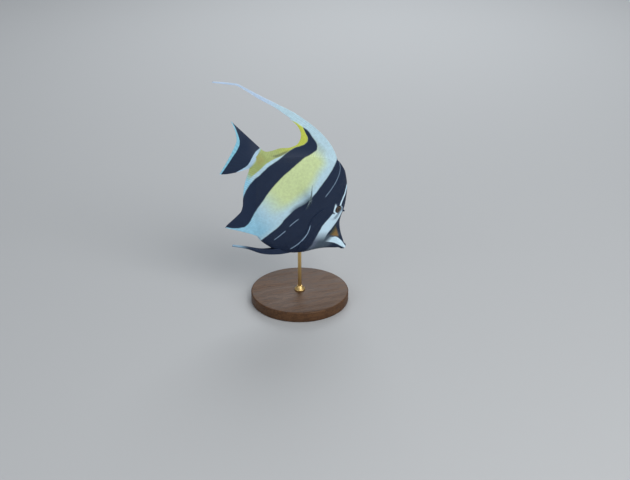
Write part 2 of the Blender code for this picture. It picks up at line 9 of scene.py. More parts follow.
import bmesh
import bpy
import numpy as np
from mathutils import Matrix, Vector


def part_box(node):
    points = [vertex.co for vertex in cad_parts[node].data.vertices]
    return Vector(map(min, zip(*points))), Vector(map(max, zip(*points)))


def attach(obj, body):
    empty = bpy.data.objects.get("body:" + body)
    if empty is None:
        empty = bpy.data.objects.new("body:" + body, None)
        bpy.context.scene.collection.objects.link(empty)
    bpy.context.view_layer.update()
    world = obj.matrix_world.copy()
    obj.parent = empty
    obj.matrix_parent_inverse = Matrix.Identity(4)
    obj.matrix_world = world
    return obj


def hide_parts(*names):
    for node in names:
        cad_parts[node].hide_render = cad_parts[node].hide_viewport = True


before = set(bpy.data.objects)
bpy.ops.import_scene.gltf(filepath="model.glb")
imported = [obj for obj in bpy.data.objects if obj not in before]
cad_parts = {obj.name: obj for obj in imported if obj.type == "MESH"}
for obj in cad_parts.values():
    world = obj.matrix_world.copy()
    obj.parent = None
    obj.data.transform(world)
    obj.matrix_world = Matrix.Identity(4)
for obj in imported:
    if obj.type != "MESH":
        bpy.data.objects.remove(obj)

log = logging.getLogger("moorish_idol")

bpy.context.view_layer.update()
ROOT_BODY = "root"
MM = 0.001

Colour = tuple[float, float, float]
Pairs = Sequence[tuple[float, float]]
Socket = bpy.types.NodeSocket


class Side(Enum):
    """The two flanks of the fish, by the sign of the way right."""

    RIGHT = 1.0
    LEFT = -1.0


@dataclass(frozen=True)
class Profile:
    """A smooth curve through (place, value) pairs that never overshoots them."""

    pairs: Pairs

    def __call__(self, place: np.ndarray) -> np.ndarray:
        """Reads the curve.

        Args:
            place: Where to read it; places past its ends read as the ends.

        Returns:
            The value at each place.
        """
        places, values = (np.array(column, float) for column in zip(*self.pairs))
        place = np.clip(np.asarray(place, float), places[0], places[-1])
        steps = np.diff(values) / np.diff(places)
        before, after = steps[:-1], steps[1:]
        turning = before * after <= 0
        total = np.where(turning, 1.0, before + after)
        slopes = np.concatenate((steps[:1], np.where(turning, 0.0, 2 * before * after / total), steps[-1:]))
        index = np.clip(np.searchsorted(places, place) - 1, 0, len(places) - 2)
        width = places[index + 1] - places[index]
        t = (place - places[index]) / width
        start = values[index] * (2 * t**3 - 3 * t**2 + 1) + slopes[index] * width * (t**3 - 2 * t**2 + t)
        end = values[index + 1] * (3 * t**2 - 2 * t**3) + slopes[index + 1] * width * (t**3 - t**2)
        return start + end


@dataclass(frozen=True)
class Route:
    """A smooth path through (back, up) points, read by the share of the way along it."""

    points: Pairs

    def __call__(self, share: np.ndarray) -> tuple[np.ndarray, np.ndarray]:
        """Reads the path.

        Args:
            share: From 0 at its start to 1 at its end.

        Returns:
            The back and up values there.
        """
        legs = [math.dist(a, b) for a, b in zip(self.points, self.points[1:])]
        marks = np.concatenate(([0.0], np.cumsum(legs)))
        along = np.asarray(share, float) * marks[-1]
        backs, ups = zip(*self.points)
        return Profile(tuple(zip(marks, backs)))(along), Profile(tuple(zip(marks, ups)))(along)


@dataclass(frozen=True)
class FishPose:
    """How the fish hangs. Its own frame is shares of its body length: back from the lips, up and right."""

    body_length: float = 0.160
    nose_down: float = math.radians(48.0)
    lips: tuple[float, float, float] = (0.054, 0.0, 0.057)

    def place(self, back: np.ndarray, up: np.ndarray, right: np.ndarray) -> np.ndarray:
        """Turns places on the fish into points of the scene.

        Args:
            back: Shares of the body length behind the lips.
            up: Shares above the line of the lips.
            right: Shares right of the mid plane.

        Returns:
            The points in metres, one row each.
        """
        back, up, right = np.broadcast_arrays(back, up, right)
        x, y, z = (-back * self.body_length, -right * self.body_length, up * self.body_length)
        cosine, sine = math.cos(self.nose_down), math.sin(self.nose_down)
        turned = np.stack((cosine * x + sine * z, y, cosine * z - sine * x), axis=-1)
        return turned + np.array(self.lips)

    def shares(self, points: np.ndarray) -> tuple[np.ndarray, np.ndarray]:
        """The back and up shares of points of the scene."""
        x, _, z = np.moveaxis(points - np.array(self.lips), -1, 0)
        cosine, sine = math.cos(self.nose_down), math.sin(self.nose_down)
        return (sine * z - cosine * x) / self.body_length, (sine * x + cosine * z) / self.body_length


POSE = FishPose()


def unit(vectors: np.ndarray) -> np.ndarray:
    """Vectors of length one, row by row."""
    return vectors / np.maximum(np.linalg.norm(vectors, axis=-1, keepdims=True), 1e-12)


def bump(distance: np.ndarray, width: float) -> np.ndarray:
    """A bell of height one that is down to a third at the given distance."""
    return np.exp(-((distance / width) ** 2))


def ease(value: np.ndarray, start: float, end: float) -> np.ndarray:
    """Rises smoothly from 0 at the start to 1 at the end.

    Args:
        value: What is read.
        start: Where the rise begins.
        end: Where it is complete; it may lie below the start.

    Returns:
        Numbers from 0 to 1.
    """
    t = np.clip((value - start) / (end - start), 0.0, 1.0)
    return t * t * (3 - 2 * t)


def mesh_piece(name: str, points: np.ndarray, faces: Sequence[Sequence[int]], smooth: bool = True) -> bpy.types.Object:
    """Makes a mesh object at the origin, with its faces turned outwards.

    Args:
        name: The piece's name.
        points: One row for each vertex, in metres.
        faces: Vertex numbers of each face.
        smooth: Whether it is shaded smooth.

    Returns:
        The new object.
    """
    mesh = bpy.data.meshes.new(name)
    mesh.from_pydata(points.tolist(), [], [tuple(face) for face in faces])
    shape = bmesh.new()
    shape.from_mesh(mesh)
    bmesh.ops.recalc_face_normals(shape, faces=shape.faces)
    shape.to_mesh(mesh)
    shape.free()
    piece = bpy.data.objects.new(name, mesh)
    bpy.context.scene.collection.objects.link(piece)
    if smooth:
        mesh.shade_smooth()
    return piece


def lathe_faces(rings: int, sides: int) -> list[tuple[int, int, int, int]]:
    """Faces between neighbouring rings of a turned mesh, ring after ring."""
    faces = []
    for ring in range(rings - 1):
        low, high = ring * sides, (ring + 1) * sides
        for side in range(sides):
            after = (side + 1) % sides
            faces.append((low + side, low + after, high + after, high + side))
    return faces


def turned_piece(name: str, outline: Pairs, sides: int, centre: Vector, axis: Vector) -> bpy.types.Object:
    """Turns an outline about an axis into a closed piece.

    Args:
        name: The piece's name.
        outline: (height along the axis, radius) pairs in metres; the first and last radius is 0.
        sides: How many sides the rings have.
        centre: Where height 0 lies.
        axis: The way the heights run.

    Returns:
        The new object, whose poles are closed.
    """
    turn = Vector((0, 0, 1)).rotation_difference(axis)
    points = []
    for height, radius in outline:
        for side in range(sides):
            angle = 2 * math.pi * side / sides
            points.append(centre + turn @ Vector((radius * math.cos(angle), radius * math.sin(angle), height)))
    piece = mesh_piece(name, np.array(points), lathe_faces(len(outline), sides))
    shape = bmesh.new()
    shape.from_mesh(piece.data)
    bmesh.ops.remove_doubles(shape, verts=shape.verts, dist=1e-7)
    bmesh.ops.recalc_face_normals(shape, faces=shape.faces)
    shape.to_mesh(piece.data)
    shape.free()
    return piece


class IdolBody:
    """The fish's body: its outline, its thickness, and the relief of its head."""

    back_line = Profile((
        (0.000, 0.004), (0.006, 0.013), (0.016, 0.019), (0.030, 0.019), (0.055, 0.030), (0.095, 0.048),
        (0.140, 0.074), (0.180, 0.106), (0.210, 0.148), (0.240, 0.205), (0.280, 0.258), (0.330, 0.312),
        (0.390, 0.358), (0.450, 0.390), (0.520, 0.402), (0.580, 0.394), (0.660, 0.350), (0.740, 0.288),
        (0.820, 0.215), (0.880, 0.156), (0.930, 0.115), (0.970, 0.099), (1.000, 0.097),
    ))
    belly_line = Profile((
        (0.000, -0.008), (0.006, -0.020), (0.016, -0.029), (0.030, -0.032), (0.060, -0.056),
        (0.100, -0.088), (0.140, -0.126), (0.175, -0.168), (0.219, -0.226), (0.285, -0.286),
        (0.354, -0.326), (0.434, -0.352), (0.520, -0.362), (0.610, -0.340), (0.700, -0.272),
        (0.800, -0.180), (0.880, -0.099), (0.940, -0.044), (0.975, -0.022), (1.000, -0.016),
    ))
    half_width = Profile((
        (0.000, 0.007), (0.006, 0.014), (0.016, 0.0175), (0.030, 0.0155), (0.060, 0.018), (0.100, 0.024),
        (0.150, 0.034), (0.200, 0.046), (0.260, 0.060), (0.340, 0.074), (0.440, 0.083), (0.540, 0.081),
        (0.660, 0.067), (0.780, 0.049), (0.880, 0.033), (0.950, 0.024), (1.000, 0.014),
    ))
    keel_sharpness = 1.15
    end_bulge = 0.003
    cap = 0.01
    coat_depth = 0.10 * MM

    eye_place = (0.286, 0.163)
    eye_radius = 6.0 * MM
    eye_depth = 3.6 * MM
    eye_proud = 1.2 * MM
    socket_floor = -1.6 * MM
    orbit_edge = 4.30 * MM
    orbit_flat, orbit_fade = 5.6 * MM, 9.5 * MM
    orbit_lip = 0.28 * MM

    horn_place = (0.243, 0.176)
    brow_swell = 0.45 * MM
    nostrils = ((0.222, 0.112), (0.230, 0.130))
    nostril_radius = 0.55 * MM
    nostril_depth = 0.9 * MM

    gill_edge = Profile((
        (-0.260, 0.265), (-0.205, 0.300), (-0.150, 0.326), (-0.100, 0.346), (-0.050, 0.375),
        (0.000, 0.395), (0.070, 0.388), (0.130, 0.360),
    ))
    cheek_edge = Profile(((-0.200, 0.262), (-0.120, 0.296), (-0.020, 0.318), (0.060, 0.322), (0.120, 0.318)))
    lateral_line = Profile((
        (0.390, 0.150), (0.440, 0.205), (0.520, 0.255), (0.620, 0.262), (0.720, 0.228), (0.820, 0.150),
        (0.900, 0.078), (0.960, 0.048), (1.000, 0.042),
    ))
    mouth_line = Profile(((-0.020, -0.0035), (0.000, -0.0065), (0.045, -0.0135)))
    gape = 0.036

    def section(self, back: np.ndarray, turn: np.ndarray) -> tuple[np.ndarray, np.ndarray, np.ndarray]:
        """The smooth body without relief.

        Args:
            back: Places along the body; past 0 or 1 they run over the rounded ends.
            turn: Angles round the section, from the right flank by the back to the left flank.

        Returns:
            The back, up and right shares of each place.
        """
        back, turn = np.broadcast_arrays(np.asarray(back, float), np.asarray(turn, float))
        over = np.clip(np.maximum(-back, back - 1.0) / self.cap, 0.0, 1.0)
        shrink = np.cos(over * math.pi / 2)
        reach = np.sin(over * math.pi / 2) * self.end_bulge
        inside = np.clip(back, 0.0, 1.0)
        top, bottom = self.back_line(inside), self.belly_line(inside)
        across, rise = np.cos(turn), np.sin(turn)
        right = self.half_width(inside) * np.sign(across) * np.abs(across) ** self.keel_sharpness
        moved = inside + np.where(back > 0.5, reach, -reach)
        return moved, (top + bottom) / 2 + (top - bottom) / 2 * rise * shrink, right * shrink

    def bare(self, back: np.ndarray, turn: np.ndarray) -> np.ndarray:
        """Points of the smooth body."""
        return POSE.place(*self.section(back, turn))

    def facing(self, back: np.ndarray, turn: np.ndarray) -> np.ndarray:
        """The way out of the smooth body.

        Args:
            back: Places along the body.
            turn: Angles round it.

        Returns:
            A unit vector for each place.
        """
        step = 1e-3
        inside = np.clip(back, -self.cap * 0.9, 1 + self.cap * 0.9)
        along = self.bare(inside + step, turn) - self.bare(inside - step, turn)
        around = self.bare(inside, turn + step) - self.bare(inside, turn - step)
        return unit(np.cross(around, along))

    def half_thickness(self, back: np.ndarray, up: np.ndarray) -> np.ndarray:
        """Half the body's thickness in metres at a place of its side view, and 0 outside it."""
        top, bottom = self.back_line(back), self.belly_line(back)
        level = np.clip((2 * up - top - bottom) / (top - bottom), -1.0, 1.0)
        return self.half_width(back) * (1 - level**2) ** (self.keel_sharpness / 2) * POSE.body_length

    def turn_at(self, back: float, up: float) -> float:
        """The angle round the right flank at which the body is this high."""
        top, bottom = float(self.back_line(back)), float(self.belly_line(back))
        return math.asin(min(1.0, max(-1.0, (2 * up - top - bottom) / (top - bottom))))

    def mark(self, place: tuple[float, float], side: Side) -> tuple[np.ndarray, np.ndarray]:
        """A landmark on one flank.

        Args:
            place: Its back and up shares.
            side: The flank it is on.

        Returns:
            Its point, and the way out of the body there.
        """
        turn = self.turn_at(*place)
        if side is Side.LEFT:
            turn = math.pi - turn
        back = np.array([place[0]])
        return self.bare(back, np.array([turn]))[0], self.facing(back, np.array([turn]))[0]

    def relief(self, back: np.ndarray, up: np.ndarray, points: np.ndarray) -> np.ndarray:
        """How far the skin stands out of the smooth body.

        Args:
            back: Places along the body.
            up: Their heights.
            points: The smooth body's points there.

        Returns:
            Heights in metres.
        """
        length = POSE.body_length
        behind = (back - self.gill_edge(up)) * length
        reach = ease(up, -0.262, -0.200) * (1 - ease(up, 0.085, 0.128))
        height = reach * 0.42 * MM * bump(np.minimum(behind, 0.0), 7.0 * MM) * (1 - ease(behind, -0.15 * MM, 0.25 * MM))
        height -= reach * 0.34 * MM * bump(behind - 0.55 * MM, 0.75 * MM)
        cheek = (back - self.cheek_edge(up)) * length
        low_high = ease(up, -0.190, -0.120) * (1 - ease(up, 0.070, 0.115))
        height += low_high * 0.16 * MM * bump(cheek, 1.6 * MM)
        height -= low_high * 0.14 * MM * bump(cheek - 2.2 * MM, 1.1 * MM)
        line = (up - self.lateral_line(back)) * length
        height += 0.07 * MM * bump(line, 0.45 * MM) * ease(back, 0.385, 0.42)
        from_mouth = (up - self.mouth_line(back)) * length
        open_here = 1 - ease(back, self.gape * 0.7, self.gape)
        lips = 1 - ease(back, 0.016, 0.034)
        height += 0.26 * MM * lips * (bump(from_mouth - 0.95 * MM, 0.6 * MM) + bump(from_mouth + 0.95 * MM, 0.6 * MM))
        height -= 0.75 * MM * open_here * bump(from_mouth, 0.30 * MM)
        for side in Side:
            for place in self.nostrils:
                centre, _ = self.mark(place, side)
                distance = np.linalg.norm(points - centre, axis=-1)
                height += 0.20 * MM * bump(distance - self.nostril_radius * 1.5, 0.35 * MM)
                height -= self.nostril_depth * (1 - ease(distance, self.nostril_radius * 0.5, self.nostril_radius * 1.25))
            brow = np.linalg.norm(points - self.mark(self.horn_place, side)[0], axis=-1)
            height += self.brow_swell * bump(brow, 2.3 * MM)
        return height - self.coat_depth

    def seat_eye(self, points: np.ndarray, side: Side) -> np.ndarray:
        """Raises the skin round an eye to its rim, and sinks it under the eyeball.

        Args:
            points: The skin's points.
            side: Which eye.

        Returns:
            The moved points.
        """
        centre, out = self.mark(self.eye_place, side)
        offset = points - centre
        rise = offset @ out
        flat = offset - rise[..., None] * out
        distance = np.linalg.norm(flat, axis=-1)
        near = (1 - ease(distance, self.orbit_flat, self.orbit_fade)) * (np.abs(rise) < 8 * MM)
        rim = self.orbit_lip * bump(distance - 5.1 * MM, 0.75 * MM) + 0.05 * MM
        level = rim + (self.socket_floor - rim) * (1 - ease(distance, self.orbit_edge - 0.35 * MM, self.orbit_edge + 0.12 * MM))
        return points + ((level - rise) * near)[..., None] * out

    def skin(self, back: np.ndarray, turn: np.ndarray) -> np.ndarray:
        """Points of the finished skin.

        Args:
            back: Places along the body.
            turn: Angles round it.

        Returns:
            The points in metres.
        """
        moved, up, _ = self.section(back, turn)
        points = self.bare(back, turn)
        points = points + self.facing(back, turn) * self.relief(moved, up, points)[..., None]
        for side in Side:
            points = self.seat_eye(points, side)
        return points


BODY = IdolBody()


class NodeSheet:
    """Adds shader nodes to one tree and joins them as it goes."""

    def __init__(self, tree: bpy.types.NodeTree) -> None:
        """Starts on an existing tree."""
        self.tree = tree

    def add(self, kind: str, **settings: object) -> bpy.types.Node:
        """Adds a node.

        Args:
            kind: Its type's name.
            **settings: Values of its own properties.

        Returns:
            The node.
        """
        node = self.tree.nodes.new(kind)
        for name, value in settings.items():
            setattr(node, name, value)
        return node

    def feed(self, socket: Socket, value: object) -> None:
        """Joins a socket to another one, or sets its value."""
        if isinstance(value, bpy.types.NodeSocket):
            self.tree.links.new(value, socket)
        else:
            socket.default_value = value

    def maths(self, operation: str, *values: object) -> Socket:
        """A Math node's result.

        Args:
            operation: The operation's name.
            *values: Sockets or numbers.

        Returns:
            The output socket.
        """
        node = self.add("ShaderNodeMath", operation=operation)
        for socket, value in zip(node.inputs, values):
            self.feed(socket, value)
        return node.outputs[0]

    def ramp(self, value: object, start: object, end: object, low: float = 0.0, high: float = 1.0) -> Socket:
        """A smooth rise between two values.

        Args:
            value: What is read.
            start: Where the rise begins.
            end: Where it ends.
            low: What it gives before the start.
            high: What it gives after the end.

        Returns:
            The output socket.
        """
        node = self.add("ShaderNodeMapRange", interpolation_type="SMOOTHSTEP")
        for name, item in (("Value", value), ("From Min", start), ("From Max", end), ("To Min", low), ("To Max", high)):
            self.feed(node.inputs[name], item)
        return node.outputs[0]

    def curve(self, pairs: Pairs, value: Socket) -> Socket:
        """A smooth curve through (value, result) pairs.

        Args:
            pairs: The curve's points, in rising order.
            value: What is read.

        Returns:
            The result, level past the curve's ends.
        """
        places, results = zip(*pairs)
        low, high = min(results) - 1e-4, max(results) + 1e-4
        first, last = places[0], places[-1]
        node = self.add("ShaderNodeFloatCurve")
        line = node.mapping.curves[0]
        for place, result in pairs[1:-1]:
            line.points.new((place - first) / (last - first), (result - low) / (high - low))
        ends = (line.points[0], line.points[len(line.points) - 1])
        for point, (place, result) in zip(ends, (pairs[0], pairs[-1])):
            point.location = ((place - first) / (last - first), (result - low) / (high - low))
        for point in line.points:
            point.handle_type = "AUTO_CLAMPED"
        node.mapping.extend = "HORIZONTAL"
        node.mapping.update()
        share = self.add("ShaderNodeMapRange", interpolation_type="LINEAR")
        for name, item in (("Value", value), ("From Min", first), ("From Max", last)):
            self.feed(share.inputs[name], item)
        self.feed(node.inputs["Value"], share.outputs[0])
        return self.maths("MULTIPLY_ADD", node.outputs[0], high - low, low)

    def blend(self, share: object, under: object, over: object) -> Socket:
        """One colour laid over another.

        Args:
            share: How much of the upper colour shows.
            under: The lower colour.
            over: The upper colour.

        Returns:
            The mixed colour.
        """
        node = self.add("ShaderNodeMix", data_type="RGBA")
        self.feed(node.inputs[0], share)
        for socket, value in ((node.inputs[6], under), (node.inputs[7], over)):
            self.feed(socket, (*value, 1.0) if isinstance(value, tuple) else value)
        return node.outputs[2]

    def noise(self, place: object, scale: float, detail: float = 3.0, roughness: float = 0.55) -> Socket:
        """Soft cloudy noise from 0 to 1."""
        node = self.add("ShaderNodeTexNoise")
        self.feed(node.inputs["Vector"], place)
        for name, value in (("Scale", scale), ("Detail", detail), ("Roughness", roughness)):
            node.inputs[name].default_value = value
        return node.outputs[0]

    def every(self, *masks: Socket) -> Socket:
        """Where all the masks hold."""
        result = masks[0]
        for mask in masks[1:]:
            result = self.maths("MULTIPLY", result, mask)
        return result

    def use(self, group: bpy.types.NodeTree, **values: object) -> bpy.types.Node:
        """Places a shared group.

        Args:
            group: The group's tree.
            **values: Its inputs, with spaces as underscores.

        Returns:
            The group node.
        """
        node = self.add("ShaderNodeGroup")
        node.node_tree = group
        for name, value in values.items():
            self.feed(node.inputs[name.replace("_", " ")], value)
        return node


def new_group(name: str, inputs: dict[str, str], outputs: dict[str, str]) -> tuple[bpy.types.NodeTree, NodeSheet, dict, dict]:
    """Starts a shader group.

    Args:
        name: The group's name.
        inputs: Socket types by name.
        outputs: Socket types by name.

    Returns:
        The tree, its sheet, and its input and output sockets by name.
    """
    tree = bpy.data.node_groups.new(name, "ShaderNodeTree")
    for direction, sockets in (("INPUT", inputs), ("OUTPUT", outputs)):
        for label, kind in sockets.items():
            tree.interface.new_socket(name=label, in_out=direction, socket_type=kind)
    sheet = NodeSheet(tree)
    entry, leave = sheet.add("NodeGroupInput"), sheet.add("NodeGroupOutput")
    return tree, sheet, {s.name: s for s in entry.outputs if s.name}, {s.name: s for s in leave.inputs if s.name}


@dataclass(frozen=True)
class Markings:
    """The moorish idol's pattern, with painted shade on the throat, under the eye and in the back fin's fold. Edges are
    (up, back) pairs where they run up the flank.
    """

    black: Colour = (0.0062, 0.0185, 0.0520)
    white: Colour = (0.50, 0.70, 0.80)
    face_white: Colour = (0.66, 0.87, 1.00)
    lemon: Colour = (0.62, 0.74, 0.39)
    beige: Colour = (0.40, 0.50, 0.40)
    sky: Colour = (0.30, 0.60, 0.78)
    margin: Colour = (0.54, 0.60, 0.09)
    stalk: Colour = (0.38, 0.46, 0.17)
    stalk_core: Colour = (0.41, 0.43, 0.15)
    # painted shade in the fold at the back fin's base
    fold_shade_olive: Colour = (0.11, 0.13, 0.07)
    saddle: Colour = (0.28, 0.165, 0.050)
    saddle_rear: Colour = (0.065, 0.070, 0.042)
    # painted shade: the throat's white skin in shadow, painted dark grey-blue
    throat: Colour = (0.070, 0.105, 0.145)
    # painted shadow under the eye
    eye_shadow_colour: Colour = (0.16, 0.24, 0.33)
    silver: Colour = (0.50, 0.64, 0.84)
    # painted shade: a lilac-grey edge of the shaded throat, along the face's rear edge
    lilac_throat_shade: Colour = (0.17, 0.20, 0.29)
    line: Colour = (0.30, 0.43, 0.58)
    crisp: float = 0.0045

    first_band_rear: Pairs = (
        (-0.370, 0.520), (-0.298, 0.535), (-0.231, 0.535), (-0.170, 0.538), (-0.118, 0.548), (-0.059, 0.547),
        (0.016, 0.529), (0.082, 0.518), (0.186, 0.525), (0.285, 0.533), (0.375, 0.543), (0.410, 0.556),
    )
    second_band_front: Pairs = (
        (-0.447, 0.786), (-0.413, 0.733), (-0.378, 0.700), (-0.345, 0.686), (-0.318, 0.688), (-0.285, 0.700),
        (-0.207, 0.728), (-0.131, 0.749), (-0.031, 0.770), (0.050, 0.774), (0.141, 0.764), (0.230, 0.749),
        (0.298, 0.723), (0.345, 0.709),
    )
    second_band_top: Pairs = (
        (0.700, 0.345), (0.713, 0.359), (0.728, 0.374), (0.748, 0.385), (0.802, 0.394), (0.857, 0.403),
        (0.900, 0.397), (0.977, 0.382), (1.040, 0.352), (1.200, 0.280), (1.600, 0.120),
    )
    second_band_rear: Pairs = (
        (-0.230, 0.845), (-0.193, 0.865), (-0.149, 0.880), (-0.068, 0.893), (0.024, 0.894), (0.087, 0.883),
        (0.151, 0.866), (0.211, 0.853), (0.265, 0.835), (0.301, 0.813), (0.339, 0.802), (0.360, 0.810),
        (0.379, 0.853), (0.395, 0.900),
    )
    face_rear: Pairs = (
        (-0.200, 0.222), (-0.153, 0.229), (-0.112, 0.247), (-0.072, 0.262), (-0.046, 0.275), (-0.022, 0.282),
        (0.001, 0.292), (0.054, 0.297), (0.122, 0.299),
    )
    face_front: Pairs = (
        (-0.200, 0.140), (-0.060, 0.188), (-0.030, 0.202), (-0.005, 0.210), (0.048, 0.214), (0.099, 0.220),
        (0.141, 0.229), (0.170, 0.243), (0.190, 0.258),
    )
    yellow_front: Pairs = ((-0.200, 0.640), (0.047, 0.600), (0.118, 0.592), (0.200, 0.604), (0.280, 0.618), (0.380, 0.612))
    snout_top: Pairs = ((0.010, 0.008), (0.023, 0.010), (0.073, 0.017), (0.120, 0.014), (0.155, -0.009), (0.200, -0.036))
    snout_bottom: Pairs = ((0.000, -0.0065), (0.047, -0.016), (0.085, -0.024), (0.135, -0.044), (0.200, -0.085))
    forehead_line: Pairs = (
        (0.176, 0.284), (0.189, 0.293), (0.211, 0.303), (0.232, 0.311), (0.253, 0.318), (0.273, 0.325), (0.309, 0.344),
        (0.332, 0.357),
    )
    nape_line: Pairs = (
        (0.163, 0.443), (0.210, 0.446), (0.255, 0.451), (0.298, 0.458), (0.335, 0.469), (0.365, 0.484),
        (0.388, 0.504), (0.406, 0.530),
    )
    # where the painted fold shade runs
    fold_shade: Pairs = ((0.100, 0.930), (0.112, 0.918), (0.137, 0.897), (0.169, 0.877), (0.206, 0.858), (0.244, 0.840))
    chest_line: Pairs = ((-0.292, 0.475), (-0.196, 0.474), (-0.144, 0.480), (-0.067, 0.473))
    gill_line: Pairs = ((-0.267, 0.328), (-0.202, 0.321), (-0.142, 0.328), (-0.092, 0.344), (-0.045, 0.372))
    eye_streak: Pairs = ((0.124, 0.298), (0.150, 0.314), (0.180, 0.332))
    # where the painted shadow under the eye runs
    eye_shadow_path: Pairs = ((0.078, 0.266), (0.095, 0.258), (0.115, 0.255), (0.145, 0.262))

    def group(self) -> bpy.types.NodeTree:
        """Builds the shader group that paints the fish from places in its own frame.

        Returns:
            The group, with a Place input and Colour, Dark and Mottle outputs.
        """
        tree, sheet, given, out = new_group(
            "idol markings", {"Place": "NodeSocketVector"},
            {"Colour": "NodeSocketColor", "Dark": "NodeSocketFloat", "Mottle": "NodeSocketFloat"},
        )
        split = sheet.add("ShaderNodeSeparateXYZ")
        sheet.feed(split.inputs[0], given["Place"])
        wobble = sheet.maths("MULTIPLY_ADD", sheet.noise(given["Place"], 24.0, 2.0), 0.006, -0.003)
        back = sheet.maths("ADD", sheet.maths("MULTIPLY", split.outputs[0], -1.0), wobble)
        up = split.outputs[2]
        mottle = sheet.noise(given["Place"], 60.0, 4.0, 0.6)
        past = self.past
        first = past(sheet, back, sheet.curve(self.first_band_rear, up))
        second = sheet.every(
            past(sheet, back, sheet.curve(self.second_band_front, up)),
            sheet.maths("SUBTRACT", 1.0, past(sheet, back, sheet.curve(self.second_band_rear, up))),
            sheet.maths("SUBTRACT", 1.0, past(sheet, up, sheet.curve(self.second_band_top, back))),
        )
        behind_second = self.behind_second(sheet, back, up)
        colour = self.middle(sheet, back, up)
        colour = sheet.blend(behind_second, colour, self.rear(sheet, back, up, mottle))
        colour = sheet.blend(second, colour, self.black)
        front = self.front(sheet, back, up, mottle)
        colour = sheet.blend(first, front, self.smudged(sheet, back, up, colour))
        shade = sheet.ramp(mottle, 0.25, 0.75, 0.90, 1.06)
        tint = sheet.add("ShaderNodeVectorMath", operation="SCALE")
        sheet.feed(tint.inputs[0], colour)
        sheet.feed(tint.inputs["Scale"], shade)
        sheet.feed(out["Colour"], tint.outputs[0])
        grey = sheet.add("ShaderNodeRGBToBW")
        sheet.feed(grey.inputs[0], colour)
        sheet.feed(out["Dark"], sheet.ramp(grey.outputs[0], 0.20, 0.03))
        sheet.feed(out["Mottle"], mottle)
        return tree

    def past(self, sheet: NodeSheet, value: Socket, edge: Socket, soft: float = 0.0) -> Socket:
        """Where a value lies past an edge, with a border as soft as the skin's."""
        soft = soft or self.crisp
        over = sheet.maths("SUBTRACT", value, edge)
        return sheet.ramp(over, -soft, soft)

    def stroke(self, sheet: NodeSheet, value: Socket, edge: Socket, half: float) -> Socket:
        """A painted line of a given half width along an edge."""
        off = sheet.maths("ABSOLUTE", sheet.maths("SUBTRACT", value, edge))
        return sheet.ramp(off, half * 1.35, half * 0.45)

    def behind_second(self, sheet: NodeSheet, back: Socket, up: Socket) -> Socket:
        """Everything behind the second band, below its tongue."""
        behind = self.past(sheet, back, sheet.curve(self.second_band_rear, up))
        under = sheet.maths("SUBTRACT", 1.0, self.past(sheet, up, sheet.curve(self.second_band_top, back)))
        return sheet.every(behind, under)

    def middle(self, sheet: NodeSheet, back: Socket, up: Socket) -> Socket:
        """The white and lemon field between the bands, and the white strip of the back fin.

        Args:
            sheet: Where the nodes go.
            back: The place along the fish.
            up: The height.

        Returns:
            The colour.
        """
        away = sheet.maths("SUBTRACT", back, sheet.curve(self.yellow_front, up))
        lemon = sheet.every(sheet.ramp(away, -0.060, 0.030), sheet.ramp(up, -0.220, -0.020),
                            sheet.ramp(up, 0.385, 0.300), sheet.ramp(back, 0.900, 0.800))
        base = sheet.every(sheet.ramp(away, 0.000, 0.060), sheet.ramp(up, 0.300, 0.350),
                           sheet.ramp(up, 0.410, 0.375), sheet.ramp(back, 0.850, 0.780))
        low = sheet.every(sheet.ramp(up, -0.130, -0.345), sheet.ramp(back, 0.520, 0.580))
        trailing = sheet.maths("MULTIPLY", sheet.ramp(back, 1.080, 1.260), 0.9)
        colour = sheet.blend(trailing, sheet.blend(low, self.white, self.sky), self.silver)
        colour = sheet.blend(sheet.maths("MULTIPLY", base, 0.55), colour, self.beige)
        return sheet.blend(lemon, colour, self.lemon)

    def smudged(self, sheet: NodeSheet, back: Socket, up: Socket, colour: Socket) -> Socket:
        """Darkens the pale field softly where the side fin grows."""
        away = sheet.maths("SUBTRACT", back, sheet.curve(self.first_band_rear, up))
        dusky = sheet.every(sheet.ramp(away, 0.034, -0.004), sheet.ramp(up, -0.110, -0.030), sheet.ramp(up, 0.130, 0.060))
        return sheet.blend(sheet.maths("MULTIPLY", dusky, 0.72), colour, self.black)

    def rear(self, sheet: NodeSheet, back: Socket, up: Socket, mottle: Socket) -> Socket:
        """The tail stalk behind the second band, the yellow margin of the back fin, and the painted shade in the fold
        at its base.

        Args:
            sheet: Where the nodes go.
            back: The place along the fish.
            up: The height.
            mottle: The skin's fine mottling.

        Returns:
            The colour.
        """
        from_band = sheet.maths("SUBTRACT", back, sheet.curve(self.second_band_rear, up))
        core = sheet.every(sheet.ramp(back, 0.925, 0.955), sheet.ramp(up, -0.005, 0.030), sheet.ramp(up, 0.085, 0.050))
        yellow = sheet.blend(core, self.stalk, self.stalk_core)
        yellow = sheet.blend(sheet.ramp(up, 0.135, 0.270), yellow, self.margin)
        # Painted shade: a dark olive stroke in the fold where the back fin meets the body.
        fold_shade = sheet.every(self.stroke(sheet, back, sheet.curve(self.fold_shade, up), 0.0110), sheet.ramp(up, 0.104, 0.135),
                           sheet.ramp(up, 0.240, 0.190), sheet.ramp(mottle, 0.15, 0.60, 0.5, 1.0))
        yellow = sheet.blend(sheet.maths("MULTIPLY", fold_shade, 0.75), yellow, self.fold_shade_olive)
        reach = sheet.ramp(up, 0.240, 0.060, -0.006, 0.026)
        pale = sheet.ramp(sheet.maths("SUBTRACT", from_band, reach), 0.005, -0.005)
        yellow = sheet.blend(pale, yellow, self.white)
        return sheet.blend(sheet.ramp(up, -0.060, -0.130), yellow, self.sky)

